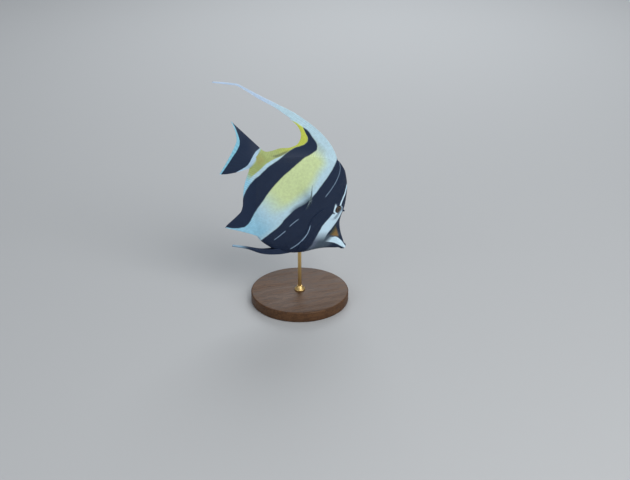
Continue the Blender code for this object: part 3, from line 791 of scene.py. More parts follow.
    def front(self, sheet: NodeSheet, back: Socket, up: Socket, mottle: Socket) -> Socket:
        """The black fore band with its pale lines, the white face, the saddled snout, and the throat in painted shade
        with a painted shadow under the eye.

        Args:
            sheet: Where the nodes go.
            back: The place along the fish.
            up: The height.
            mottle: The skin's fine mottling.

        Returns:
            The colour.
        """
        face = sheet.every(
            self.past(sheet, back, sheet.curve(self.face_front, up)),
            sheet.maths("SUBTRACT", 1.0, self.past(sheet, back, sheet.curve(self.face_rear, up))),
            sheet.ramp(up, 0.200, 0.188),
        )
        strip = sheet.every(
            self.past(sheet, sheet.curve(self.snout_top, back), up, 0.003),
            self.past(sheet, up, sheet.curve(self.snout_bottom, back), 0.003),
            sheet.ramp(back, 0.180, 0.138),
        )
        lower = sheet.maths("MULTIPLY_ADD", back, 0.915, sheet.maths("MULTIPLY", up, 1.079))
        to_rear = sheet.maths("SUBTRACT", sheet.curve(self.face_rear, up), back)
        # Painted shade: below the face the throat is painted as white skin in shadow, dark grey-blue with a lilac edge.
        shaded_throat_mask = sheet.every(sheet.ramp(lower, 0.185, 0.140), sheet.ramp(back, 0.095, 0.140), sheet.ramp(to_rear, -0.010, 0.010))
        colour = sheet.blend(shaded_throat_mask, self.black, self.throat)
        shaded_throat_edge = sheet.every(shaded_throat_mask, sheet.ramp(to_rear, 0.060, 0.000, 0.0, 0.6), sheet.ramp(up, -0.215, -0.120))
        colour = sheet.blend(shaded_throat_edge, colour, self.lilac_throat_shade)
        gap = sheet.every(sheet.ramp(sheet.maths("ABSOLUTE", sheet.maths("SUBTRACT", up, 0.123)), 0.009, 0.003),
                          sheet.ramp(back, 0.279, 0.292))
        notch = sheet.ramp(gap, 0.0, 1.0, 1.0, 0.10)
        shaded = sheet.every(sheet.ramp(mottle, 0.35, 0.8, 1.0, 0.78), notch)
        # The white face fades downwards into the painted throat shade.
        face = sheet.every(face, sheet.ramp(lower, 0.080, 0.225), shaded)
        # Painted shadow under the eye, laid over the white face.
        dusky = sheet.every(self.stroke(sheet, back, sheet.curve(self.eye_shadow_path, up), 0.013), sheet.ramp(up, 0.070, 0.110),
                            sheet.ramp(mottle, 0.10, 0.75, 0.25, 1.0))
        pale = sheet.blend(dusky, self.face_white, self.eye_shadow_colour)
        colour = sheet.blend(sheet.maths("MAXIMUM", face, strip), colour, pale)
        colour = self.saddled(sheet, back, up, colour)
        strokes = (
            (self.forehead_line, 0.0074, 1.0), (self.nape_line, 0.0034, 0.60), (self.chest_line, 0.0034, 0.80),
            (self.gill_line, 0.0044, 0.90), (self.eye_streak, 0.0100, 1.0),
        )
        for pairs, half, strength in strokes:
            ends = sheet.every(sheet.ramp(up, pairs[0][0] - 0.004, pairs[0][0] + 0.010),
                               sheet.ramp(up, pairs[-1][0] + 0.004, pairs[-1][0] - 0.014))
            mark = sheet.every(self.stroke(sheet, back, sheet.curve(pairs, up), half), ends)
            if pairs is self.chest_line:
                break_here = sheet.ramp(sheet.maths("ABSOLUTE", sheet.maths("ADD", up, 0.170)), 0.016, 0.028)
                mark = sheet.every(mark, break_here)
            over = self.face_white if strength == 1.0 else self.line
            colour = sheet.blend(sheet.maths("MULTIPLY", mark, strength), colour, over)
        return colour

    def saddled(self, sheet: NodeSheet, back: Socket, up: Socket, colour: Socket) -> Socket:
        """Lays the orange saddle on the black top of the snout.

        Args:
            sheet: Where the nodes go.
            back: The place along the fish.
            up: The height.
            colour: What lies under it.

        Returns:
            The colour.
        """
        corners = ((0.203, 0.072), (0.189, -0.012), (0.112, 0.026))
        masks = []
        for (x0, y0), (x1, y1) in zip(corners, corners[1:] + corners[:1]):
            length = math.hypot(x1 - x0, y1 - y0)
            normal = ((y1 - y0) / length, (x0 - x1) / length)
            reach = normal[0] * x0 + normal[1] * y0
            side = sheet.maths("MULTIPLY_ADD", back, normal[0], sheet.maths("MULTIPLY", up, normal[1]))
            masks.append(sheet.ramp(side, reach - 0.008, reach + 0.009))
        patch = sheet.every(*masks)
        orange = sheet.blend(sheet.ramp(back, 0.150, 0.192), self.saddle, self.saddle_rear)
        return sheet.blend(patch, colour, orange)

    @staticmethod
    def distance(sheet: NodeSheet, back: Socket, up: Socket, centre: tuple[float, float]) -> Socket:
        """How far a place lies from a centre on the flank."""
        along, rise = (sheet.maths("SUBTRACT", value, middle) for value, middle in zip((back, up), centre))
        return sheet.maths("SQRT", sheet.maths("MULTIPLY_ADD", along, along, sheet.maths("MULTIPLY", rise, rise)))


class SharedEffects:
    """Shader groups that more than one material uses, each built once."""

    def __init__(self) -> None:
        """Builds the groups."""
        self.markings = Markings().group()
        self.grain = self.skin_grain()
        self.rays = self.ray_lines()

    @staticmethod
    def skin_grain() -> bpy.types.NodeTree:
        """Fine pebbling of small scales, as a height.

        Returns:
            The group.
        """
        tree, sheet, given, out = new_group(
            "fine scale grain", {"Place": "NodeSocketVector", "Pitch": "NodeSocketFloat"},
            {"Height": "NodeSocketFloat", "Wet": "NodeSocketFloat"},
        )
        cells = sheet.add("ShaderNodeTexVoronoi", feature="F1")
        sheet.feed(cells.inputs["Vector"], given["Place"])
        sheet.feed(cells.inputs["Scale"], given["Pitch"])
        clouds = sheet.noise(given["Place"], 300.0, 4.0)
        height = sheet.maths("MULTIPLY_ADD", sheet.maths("SUBTRACT", 1.0, cells.outputs["Distance"]), 0.7,
                             sheet.maths("MULTIPLY", clouds, 0.3))
        sheet.feed(out["Height"], height)
        sheet.feed(out["Wet"], sheet.noise(given["Place"], 45.0, 3.0))
        return tree

    @staticmethod
    def ray_lines() -> bpy.types.NodeTree:
        """Fine lines along a fin's rays and the short joints across them.

        Returns:
            The group.
        """
        tree, sheet, given, out = new_group(
            "fin ray lines",
            {"Fin place": "NodeSocketVector", "Rays": "NodeSocketFloat", "Joints": "NodeSocketFloat"},
            {"Line": "NodeSocketFloat", "Height": "NodeSocketFloat"},
        )
        split = sheet.add("ShaderNodeSeparateXYZ")
        sheet.feed(split.inputs[0], given["Fin place"])
        cycle = sheet.maths("MULTIPLY", sheet.maths("MULTIPLY", split.outputs[0], given["Rays"]), 2 * math.pi)
        line = sheet.maths("MULTIPLY_ADD", sheet.maths("COSINE", cycle), 0.5, 0.5)
        fine = sheet.maths("MULTIPLY_ADD", sheet.maths("COSINE", sheet.maths("MULTIPLY", cycle, 5.0)), 0.5, 0.5)
        joints = sheet.maths("MULTIPLY", sheet.maths("MULTIPLY", split.outputs[1], given["Joints"]), 2 * math.pi)
        across = sheet.ramp(sheet.maths("SINE", joints), 0.80, 1.0)
        sheet.feed(out["Line"], sheet.maths("MULTIPLY_ADD", fine, 0.3, sheet.maths("MULTIPLY", line, 0.7)))
        height = sheet.maths("SUBTRACT", sheet.maths("MULTIPLY_ADD", fine, 0.35, line),
                             sheet.maths("MULTIPLY", across, 0.25))
        sheet.feed(out["Height"], height)
        return tree


def shader_of(finish: bpy.types.Material) -> bpy.types.Node:
    """The material's Principled shader."""
    return finish.node_tree.nodes["Principled BSDF"]


def fish_place(sheet: NodeSheet) -> Socket:
    """Object coordinates turned into the fish's own frame.

    Args:
        sheet: Where the nodes go.

    Returns:
        A vector of minus back, minus right, and up, in shares of the body length.
    """
    where = sheet.add("ShaderNodeTexCoord")
    turn = sheet.add("ShaderNodeMapping", vector_type="TEXTURE")
    sheet.feed(turn.inputs["Vector"], where.outputs["Object"])
    turn.inputs["Location"].default_value = POSE.lips
    turn.inputs["Rotation"].default_value = (0.0, POSE.nose_down, 0.0)
    turn.inputs["Scale"].default_value = (POSE.body_length,) * 3
    return turn.outputs[0]


@dataclass(frozen=True)
class SkinFinish:
    """Moist, finely scaled skin in the idol's pattern."""

    name: str
    roughness_low: float = 0.34
    roughness_high: float = 0.50
    grain_pitch: float = 240.0
    grain_depth: float = 0.00004
    gloss_coat: float = 0.08

    def build(self, effects: SharedEffects) -> bpy.types.Material:
        """Makes the material.

        Args:
            effects: The shared groups.

        Returns:
            The material.
        """
        finish = bpy.data.materials.new(self.name)
        finish.use_nodes = True
        sheet, shader = NodeSheet(finish.node_tree), shader_of(finish)
        place = fish_place(sheet)
        paint = sheet.use(effects.markings, Place=place)
        grain = sheet.use(effects.grain, Place=place, Pitch=self.grain_pitch)
        sheet.feed(shader.inputs["Base Color"], paint.outputs["Colour"])
        rough = sheet.ramp(grain.outputs["Wet"], 0.3, 0.7, self.roughness_low, self.roughness_high)
        sheet.feed(shader.inputs["Roughness"], rough)
        relief = sheet.add("ShaderNodeBump")
        relief.inputs["Strength"].default_value = 0.6
        relief.inputs["Distance"].default_value = self.grain_depth
        sheet.feed(relief.inputs["Height"], grain.outputs["Height"])
        sheet.feed(shader.inputs["Normal"], relief.outputs[0])
        shader.inputs["Specular IOR Level"].default_value = 0.31
        shader.inputs["Coat Weight"].default_value = self.gloss_coat
        shader.inputs["Coat Roughness"].default_value = 0.18
        shader.inputs["Coat IOR"].default_value = 1.33
        return finish


class FinColour(Enum):
    """How a fin takes its colour."""

    MARKINGS = "markings"
    TAIL = "tail"
    PELVIC = "pelvic"
    CLEAR = "clear"


@dataclass(frozen=True)
class FinFinish:
    """A fin's membrane or rays."""

    name: str
    colour: FinColour
    rays: int
    joints: float = 40.0
    opaque: float = 1.0
    brightness: float = 1.0
    tail_black: Colour = (0.0062, 0.0185, 0.0520)
    pale_blue: Colour = (0.24, 0.56, 0.72)
    pelvic_tip: Colour = (0.22, 0.36, 0.48)
    base_white: Colour = (0.42, 0.60, 0.76)
    base_yellow: Colour = (0.38, 0.46, 0.17)
    glass_grey: Colour = (0.13, 0.19, 0.21)
    glass_pale: Colour = (0.30, 0.38, 0.40)

    def build(self, effects: SharedEffects) -> bpy.types.Material:
        """Makes the material.

        Args:
            effects: The shared groups.

        Returns:
            The material.
        """
        finish = bpy.data.materials.new(self.name)
        finish.use_nodes = True
        sheet, shader = NodeSheet(finish.node_tree), shader_of(finish)
        on_fin = sheet.add("ShaderNodeAttribute", attribute_name="fin_place").outputs["Vector"]
        lines = sheet.use(effects.rays, Fin_place=on_fin, Rays=float(self.rays), Joints=self.joints)
        colour = self.paint(sheet, effects, on_fin)
        shade = sheet.ramp(lines.outputs["Line"], 0.0, 1.0, 0.90 * self.brightness, 1.08 * self.brightness)
        tint = sheet.add("ShaderNodeVectorMath", operation="SCALE")
        sheet.feed(tint.inputs[0], colour)
        sheet.feed(tint.inputs["Scale"], shade)
        sheet.feed(shader.inputs["Base Color"], tint.outputs[0])
        relief = sheet.add("ShaderNodeBump")
        relief.inputs["Strength"].default_value = 0.7
        relief.inputs["Distance"].default_value = 0.00008
        sheet.feed(relief.inputs["Height"], lines.outputs["Height"])
        sheet.feed(shader.inputs["Normal"], relief.outputs[0])
        shader.inputs["Roughness"].default_value = 0.52
        shader.inputs["Specular IOR Level"].default_value = 0.32
        if self.opaque < 1.0:
            split = sheet.add("ShaderNodeSeparateXYZ")
            sheet.feed(split.inputs[0], on_fin)
            clear = sheet.ramp(split.outputs[1], 0.12, 0.70, 0.08 * self.opaque, 1.3 * self.opaque)
            sheet.feed(shader.inputs["Alpha"], sheet.every(clear, sheet.ramp(lines.outputs["Line"], 0.2, 1.0, 0.7, 1.0)))
        return finish

    def paint(self, sheet: NodeSheet, effects: SharedEffects, on_fin: Socket) -> Socket:
        """The colour before the rays' lines.

        Args:
            sheet: Where the nodes go.
            effects: The shared groups.
            on_fin: The place on the fin: across its rays, and out along them.

        Returns:
            The colour.
        """
        if self.colour is FinColour.MARKINGS:
            return sheet.use(effects.markings, Place=fish_place(sheet)).outputs["Colour"]
        if self.colour is FinColour.CLEAR:
            cloudy = sheet.noise(fish_place(sheet), 30.0)
            return sheet.blend(cloudy, self.glass_grey, self.glass_pale)
        split = sheet.add("ShaderNodeSeparateXYZ")
        sheet.feed(split.inputs[0], on_fin)
        across, out = split.outputs[0], split.outputs[1]
        if self.colour is FinColour.PELVIC:
            return sheet.blend(sheet.ramp(out, 0.70, 0.90), self.tail_black, self.pelvic_tip)
        ragged = sheet.maths("MULTIPLY_ADD", sheet.noise(fish_place(sheet), 70.0, 2.0), 0.02, -0.01)
        edge = sheet.maths("ADD", out, ragged)
        depth = sheet.curve(((0.0, 0.950), (0.25, 0.900), (0.5, 0.840), (0.75, 0.890), (1.0, 0.940)), across)
        colour = sheet.blend(sheet.ramp(sheet.maths("SUBTRACT", edge, depth), -0.010, 0.012), self.tail_black, self.pale_blue)
        reach = sheet.curve(((0.0, 0.100), (0.12, 0.130), (0.35, 0.195), (0.55, 0.220), (0.75, 0.210), (0.85, 0.220),
                             (0.92, 0.270), (0.96, 0.340), (1.0, 0.430)), across)
        root = sheet.ramp(sheet.maths("SUBTRACT", edge, reach), 0.014, -0.014)
        colour = sheet.blend(root, colour, self.base_white)
        return sheet.blend(sheet.ramp(edge, 0.120, 0.030), colour, self.base_yellow)


@dataclass(frozen=True)
class MetalFinish:
    """Satin brass with fine turning marks."""

    name: str = "satin brass"
    colour: Colour = (0.66, 0.46, 0.19)
    tarnish: Colour = (0.36, 0.22, 0.08)

    def build(self) -> bpy.types.Material:
        """Makes the material."""
        finish = bpy.data.materials.new(self.name)
        finish.use_nodes = True
        sheet, shader = NodeSheet(finish.node_tree), shader_of(finish)
        place = sheet.add("ShaderNodeTexCoord").outputs["Object"]
        cloud = sheet.noise(place, 160.0, 4.0)
        sheet.feed(shader.inputs["Base Color"], sheet.blend(sheet.ramp(cloud, 0.55, 0.85), self.colour, self.tarnish))
        split = sheet.add("ShaderNodeSeparateXYZ")
        sheet.feed(split.inputs[0], place)
        rings = sheet.noise(sheet.maths("MULTIPLY", split.outputs[2], 1.0), 9000.0, 1.0)
        sheet.feed(shader.inputs["Roughness"], sheet.ramp(rings, 0.3, 0.7, 0.38, 0.48))
        relief = sheet.add("ShaderNodeBump")
        relief.inputs["Strength"].default_value = 0.4
        relief.inputs["Distance"].default_value = 0.00001
        sheet.feed(relief.inputs["Height"], rings)
        sheet.feed(shader.inputs["Normal"], relief.outputs[0])
        shader.inputs["Metallic"].default_value = 1.0
        return finish


@dataclass(frozen=True)
class WalnutFinish:
    """Oiled walnut, with its grain running across the foot."""

    name: str = "oiled walnut"
    dark: Colour = (0.034, 0.014, 0.006)
    light: Colour = (0.150, 0.070, 0.028)
    stretch: tuple[float, float, float] = (14.0, 90.0, 90.0)

    def build(self) -> bpy.types.Material:
        """Makes the material."""
        finish = bpy.data.materials.new(self.name)
        finish.use_nodes = True
        sheet, shader = NodeSheet(finish.node_tree), shader_of(finish)
        place = sheet.add("ShaderNodeTexCoord").outputs["Object"]
        long = sheet.add("ShaderNodeMapping")
        sheet.feed(long.inputs["Vector"], place)
        long.inputs["Scale"].default_value = self.stretch
        figure = sheet.noise(long.outputs[0], 1.0, 6.0, 0.62)
        bands = sheet.maths("FRACT", sheet.maths("MULTIPLY", figure, 7.0))
        pores = sheet.add("ShaderNodeMapping")
        sheet.feed(pores.inputs["Vector"], place)
        pores.inputs["Scale"].default_value = (110.0, 1800.0, 1800.0)
        specks = sheet.noise(pores.outputs[0], 1.0, 2.0)
        colour = sheet.blend(sheet.maths("MULTIPLY_ADD", bands, 0.45, sheet.maths("MULTIPLY", figure, 0.5)), self.dark, self.light)
        colour = sheet.blend(sheet.ramp(specks, 0.42, 0.32), colour, self.dark)
        sheet.feed(shader.inputs["Base Color"], colour)
        sheet.feed(shader.inputs["Roughness"], sheet.ramp(figure, 0.3, 0.7, 0.46, 0.58))
        shader.inputs["Specular IOR Level"].default_value = 0.28
        relief = sheet.add("ShaderNodeBump")
        relief.inputs["Strength"].default_value = 0.5
        relief.inputs["Distance"].default_value = 0.00004
        sheet.feed(relief.inputs["Height"], specks)
        sheet.feed(shader.inputs["Normal"], relief.outputs[0])
        return finish


@dataclass(frozen=True)
class EyeFinish:
    """A dark brown iris round a black pupil, painted by the distance from the eye's axis."""

    name: str = "idol eye"
    pupil: float = 0.30
    pupil_black: Colour = (0.003, 0.003, 0.004)
    iris_inner: Colour = (0.080, 0.045, 0.020)
    iris_outer: Colour = (0.016, 0.012, 0.011)
    rim: Colour = (0.012, 0.012, 0.016)

    def build(self) -> bpy.types.Material:
        """Makes the material."""
        finish = bpy.data.materials.new(self.name)
        finish.use_nodes = True
        sheet, shader = NodeSheet(finish.node_tree), shader_of(finish)
        on_eye = sheet.add("ShaderNodeAttribute", attribute_name="eye_place").outputs["Vector"]
        split = sheet.add("ShaderNodeSeparateXYZ")
        sheet.feed(split.inputs[0], on_eye)
        streaks = sheet.noise(on_eye, 26.0, 3.0)
        ring = sheet.maths("MULTIPLY_ADD", streaks, 0.06, split.outputs[2])
        colour = sheet.blend(sheet.ramp(ring, self.pupil + 0.08, 0.66), self.iris_inner, self.iris_outer)
        colour = sheet.blend(sheet.ramp(streaks, 0.45, 0.75), colour, self.rim)
        colour = sheet.blend(sheet.ramp(ring, self.pupil + 0.045, self.pupil + 0.02), colour, self.pupil_black)
        colour = sheet.blend(sheet.ramp(ring, 0.70, 0.76), colour, self.rim)
        sheet.feed(shader.inputs["Base Color"], colour)
        sheet.feed(shader.inputs["Roughness"], sheet.ramp(streaks, 0.2, 0.8, 0.10, 0.22))
        shader.inputs["Specular IOR Level"].default_value = 0.30
        shader.inputs["Coat Weight"].default_value = 0.6
        shader.inputs["Coat Roughness"].default_value = 0.02
        return finish


def dress(piece: bpy.types.Object, finish: bpy.types.Material, slot: str, *nodes: str) -> bpy.types.Object:
    """Gives a finished piece its material, its body and the nodes it stands for.

    Args:
        piece: The piece.
        finish: Its material.
        slot: Not used.
        *nodes: The CAD nodes that it replaces.

    Returns:
        The piece.
    """
    piece.data.materials.clear()
    piece.data.materials.append(finish)
    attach(piece, ROOT_BODY)
    if nodes:
        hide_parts(*nodes)
    log.info("%s: %d faces", piece.name, len(piece.data.polygons))
    return piece


@dataclass
class IdolSkin:
    """The one skin over all the flesh, with its orbits, gill covers, lips and nostrils."""

    front_rings: int = 30
    head_rings: int = 70
    rear_rings: int = 76
    sides: int = 176
    cap_rings: int = 5
    lip_end: float = 0.045
    head_end: float = 0.400
    fine_patches: tuple[tuple[str, float, int], ...] = (("eye", 8.6, 2), ("nostril", 2.0, 3))
    nodes: tuple[str, ...] = ("snout", "lower_jaw", "head", "gill_cover_left", "gill_cover_right", "trunk", "tail_stalk")

    def rings(self) -> np.ndarray:
        """Places of the rings along the body, closest at the lips."""
        caps = np.linspace(BODY.cap, 0.0, self.cap_rings, endpoint=False)
        lips = np.linspace(0.0, self.lip_end, self.front_rings, endpoint=False)
        head = np.linspace(self.lip_end, self.head_end, self.head_rings, endpoint=False)
        rear = np.linspace(self.head_end, 1.0, self.rear_rings)
        return np.concatenate((-caps, lips, head, rear, 1.0 + caps[::-1]))

    def flat_grid(self) -> bmesh.types.BMesh:
        """The skin's net laid flat: x is the place along the body and y the angle round it."""
        rings = self.rings()
        turns = np.linspace(-math.pi / 2, 1.5 * math.pi, self.sides + 1)
        net = bmesh.new()
        rows = [[net.verts.new((ring, turn, 0.0)) for turn in turns] for ring in rings]
        for near, far in zip(rows, rows[1:]):
            for side in range(self.sides):
                net.faces.new((near[side], near[side + 1], far[side + 1], far[side]))
        return net

    def refine(self, net: bmesh.types.BMesh, centres: list[np.ndarray], radius: float, cuts: int) -> None:
        """Splits the net's faces near some points.

        Args:
            net: The flat net.
            centres: Points of the body.
            radius: How far the finer net reaches, in metres.
            cuts: How many cuts each edge gets.
        """
        faces = list(net.faces)
        middles = np.array([face.calc_center_median()[:2] for face in faces])
        points = BODY.bare(middles[:, 0], middles[:, 1])
        near = np.min([np.linalg.norm(points - centre, axis=1) for centre in centres], axis=0) < radius
        edges = {edge for face, hit in zip(faces, near) if hit for edge in face.edges}
        ordered = sorted(edges, key=lambda edge: edge.index)
        bmesh.ops.subdivide_edges(net, edges=ordered, cuts=cuts, use_grid_fill=True)

    def gill_points(self) -> list[np.ndarray]:
        """Points along the gill covers' rear edges, on both flanks."""
        places = [(float(BODY.gill_edge(up)), up) for up in np.linspace(-0.23, 0.12, 30)]
        return [BODY.mark(place, side)[0] for side in Side for place in places]

    def build(self, finish: bpy.types.Material) -> bpy.types.Object:
        """Makes the skin.

        Args:
            finish: Its material.

        Returns:
            The dressed piece.
        """
        net = self.flat_grid()
        net.edges.index_update()
        self.refine(net, self.gill_points(), 2.4 * MM, 1)
        spots = {
            "eye": [BODY.mark(BODY.eye_place, side)[0] for side in Side],
            "nostril": [BODY.mark(place, side)[0] for side in Side for place in BODY.nostrils],
        }
        for name, radius, cuts in self.fine_patches:
            net.edges.index_update()
            self.refine(net, spots[name], radius * MM, cuts)
        flat = np.array([vert.co[:2] for vert in net.verts])
        for vert, point in zip(net.verts, BODY.skin(flat[:, 0], flat[:, 1])):
            vert.co = point
        bmesh.ops.remove_doubles(net, verts=net.verts, dist=2e-6)
        bmesh.ops.holes_fill(net, edges=net.edges, sides=0)
        bmesh.ops.recalc_face_normals(net, faces=net.faces)
        mesh = bpy.data.meshes.new("idol_skin")
        net.to_mesh(mesh)
        net.free()
        mesh.shade_smooth()
        piece = bpy.data.objects.new("idol_skin", mesh)
        bpy.context.scene.collection.objects.link(piece)
        return dress(piece, finish, "skin_pale", *self.nodes)


def socket_id(tree: bpy.types.NodeTree, name: str) -> str:
    """The identifier of a group's named input."""
    return next(item.identifier for item in tree.interface.items_tree
                if item.name == name and item.item_type == "SOCKET" and item.in_out == "INPUT")


def baked_piece(name: str, source: bpy.types.Object, tree: bpy.types.NodeTree, values: dict[str, object]) -> bpy.types.Object:
    """Runs a Geometry Nodes tree on a source and keeps what it makes as a plain mesh.

    Args:
        name: The new piece's name.
        source: The object whose mesh the tree starts from; it is removed.
        tree: The Geometry Nodes tree.
        values: The tree's inputs by name.

    Returns:
        The new object.
    """
    modifier = source.modifiers.new("grow", "NODES")
    modifier.node_group = tree
    for label, value in values.items():
        modifier[socket_id(tree, label)] = value
    source.update_tag()
    graph = bpy.context.evaluated_depsgraph_get()
    graph.update()
    mesh = bpy.data.meshes.new_from_object(source.evaluated_get(graph))
    source.modifiers.remove(modifier)
    bpy.data.objects.remove(source)
    mesh.name = name
    piece = bpy.data.objects.new(name, mesh)
    bpy.context.scene.collection.objects.link(piece)
    return piece


def set_attribute(mesh: bpy.types.Mesh, name: str, values: np.ndarray) -> None:
    """Stores numbers or vectors on a mesh's vertices.

    Args:
        mesh: The mesh.
        name: The attribute's name.
        values: One number or one vector for each vertex.
    """
    vectors = values.ndim == 2
    attribute = mesh.attributes.new(name, "FLOAT_VECTOR" if vectors else "FLOAT", "POINT")
    attribute.data.foreach_set("vector" if vectors else "value", values.astype(np.float32).ravel())


class GrowthTrees:
    """Geometry Nodes trees for what repeats: the scales of the coat and the rays of the fins."""

    def __init__(self) -> None:
        """Builds the trees."""
        self.scales = self.scale_tree()
        self.rays = self.ray_tree()

    @staticmethod
    def start(name: str, inputs: dict[str, str]) -> tuple[bpy.types.NodeTree, NodeSheet, dict]:
        """Starts a tree with a geometry input and output.

        Args:
            name: The tree's name.
            inputs: Further socket types by name.

        Returns:
            The tree, its sheet and its inputs by name.
        """
        tree = bpy.data.node_groups.new(name, "GeometryNodeTree")
        tree.interface.new_socket(name="Geometry", in_out="INPUT", socket_type="NodeSocketGeometry")
        for label, kind in inputs.items():
            tree.interface.new_socket(name=label, in_out="INPUT", socket_type=kind)
        tree.interface.new_socket(name="Geometry", in_out="OUTPUT", socket_type="NodeSocketGeometry")
        sheet = NodeSheet(tree)
        entry = sheet.add("NodeGroupInput")
        return tree, sheet, {s.name: s for s in entry.outputs if s.name}

    @staticmethod
    def named(sheet: NodeSheet, name: str, kind: str) -> Socket:
        """A stored attribute's value."""
        node = sheet.add("GeometryNodeInputNamedAttribute", data_type=kind)
        node.inputs["Name"].default_value = name
        return node.outputs["Attribute"]

    def finish(self, sheet: NodeSheet, geometry: Socket, material: Socket) -> None:
        """Realizes the instances, sets the material and ends the tree."""
        real = sheet.add("GeometryNodeRealizeInstances")
        sheet.feed(real.inputs[0], geometry)
        coat = sheet.add("GeometryNodeSetMaterial")
        sheet.feed(coat.inputs["Geometry"], real.outputs[0])
        sheet.feed(coat.inputs["Material"], material)
        sheet.feed(sheet.add("NodeGroupOutput").inputs[0], coat.outputs[0])

    def scale_tree(self) -> bpy.types.NodeTree:
        """One scale on each root point, laid along the coat, with its patch of the OFBake map."""
        tree, sheet, given = self.start("scale coat", {
            "Scale shape": "NodeSocketObject", "Size": "NodeSocketFloat", "Patch": "NodeSocketFloat",
            "Seed": "NodeSocketInt", "Finish": "NodeSocketMaterial",
        })
        shape = sheet.add("GeometryNodeObjectInfo")
        sheet.feed(shape.inputs["Object"], given["Scale shape"])
        stand = sheet.add("FunctionNodeAlignRotationToVector", axis="Z")
        sheet.feed(stand.inputs["Vector"], self.named(sheet, "facing", "FLOAT_VECTOR"))
        lay = sheet.add("FunctionNodeAlignRotationToVector", axis="X", pivot_axis="Z")
        sheet.feed(lay.inputs["Rotation"], stand.outputs[0])
        sheet.feed(lay.inputs["Vector"], self.named(sheet, "lie", "FLOAT_VECTOR"))
        vary = sheet.add("FunctionNodeRandomValue", data_type="FLOAT")
        vary.inputs[2].default_value, vary.inputs[3].default_value = 0.90, 1.12
        sheet.feed(vary.inputs["Seed"], given["Seed"])
        size = sheet.maths("MULTIPLY", self.named(sheet, "size", "FLOAT"), given["Size"])
        size = sheet.maths("MULTIPLY", size, vary.outputs[1])
        grow = sheet.add("GeometryNodeInstanceOnPoints")
        sheet.feed(grow.inputs["Points"], given["Geometry"])
        sheet.feed(grow.inputs["Instance"], shape.outputs["Geometry"])
        sheet.feed(grow.inputs["Rotation"], lay.outputs[0])
        sheet.feed(grow.inputs["Scale"], size)
        real = sheet.add("GeometryNodeRealizeInstances")
        sheet.feed(real.inputs[0], grow.outputs[0])
        spread = sheet.add("ShaderNodeVectorMath", operation="SCALE")
        sheet.feed(spread.inputs[0], self.named(sheet, "within", "FLOAT_VECTOR"))
        sheet.feed(spread.inputs["Scale"], given["Patch"])
        total = sheet.add("ShaderNodeVectorMath", operation="ADD")
        sheet.feed(total.inputs[0], spread.outputs[0])
        sheet.feed(total.inputs[1], self.named(sheet, "root_patch", "FLOAT_VECTOR"))
        store = sheet.add("GeometryNodeStoreNamedAttribute", data_type="FLOAT2", domain="CORNER")
        store.inputs["Name"].default_value = "OFBake"
        sheet.feed(store.inputs["Geometry"], real.outputs[0])
        sheet.feed(store.inputs["Value"], total.outputs[0])
        self.finish(sheet, store.outputs[0], given["Finish"])
        return tree

    def ray_tree(self) -> bpy.types.NodeTree:
        """A tapering round rod along each chain of edges."""
        tree, sheet, given = self.start("fin rays", {
            "Girth": "NodeSocketFloat", "Sides": "NodeSocketInt", "Finish": "NodeSocketMaterial",
        })
        chain = sheet.add("GeometryNodeMeshToCurve")
        sheet.feed(chain.inputs[0], given["Geometry"])
        thick = sheet.add("GeometryNodeSetCurveRadius")
        sheet.feed(thick.inputs["Curve"], chain.outputs[0])
        sheet.feed(thick.inputs["Radius"], sheet.maths("MULTIPLY", self.named(sheet, "girth", "FLOAT"), given["Girth"]))
        ring = sheet.add("GeometryNodeCurvePrimitiveCircle")
        ring.inputs["Radius"].default_value = 1.0
        sheet.feed(ring.inputs["Resolution"], given["Sides"])
        rod = sheet.add("GeometryNodeCurveToMesh")
        sheet.feed(rod.inputs["Curve"], thick.outputs[0])
        sheet.feed(rod.inputs["Profile Curve"], ring.outputs[0])
        if "Scale" in rod.inputs:
            sheet.feed(rod.inputs["Scale"], sheet.maths("MULTIPLY", self.named(sheet, "girth", "FLOAT"), given["Girth"]))
        rod.inputs["Fill Caps"].default_value = True
        smooth = sheet.add("GeometryNodeSetShadeSmooth")
        sheet.feed(smooth.inputs[0], rod.outputs[0])
        self.finish(sheet, smooth.outputs[0], given["Finish"])
        return tree


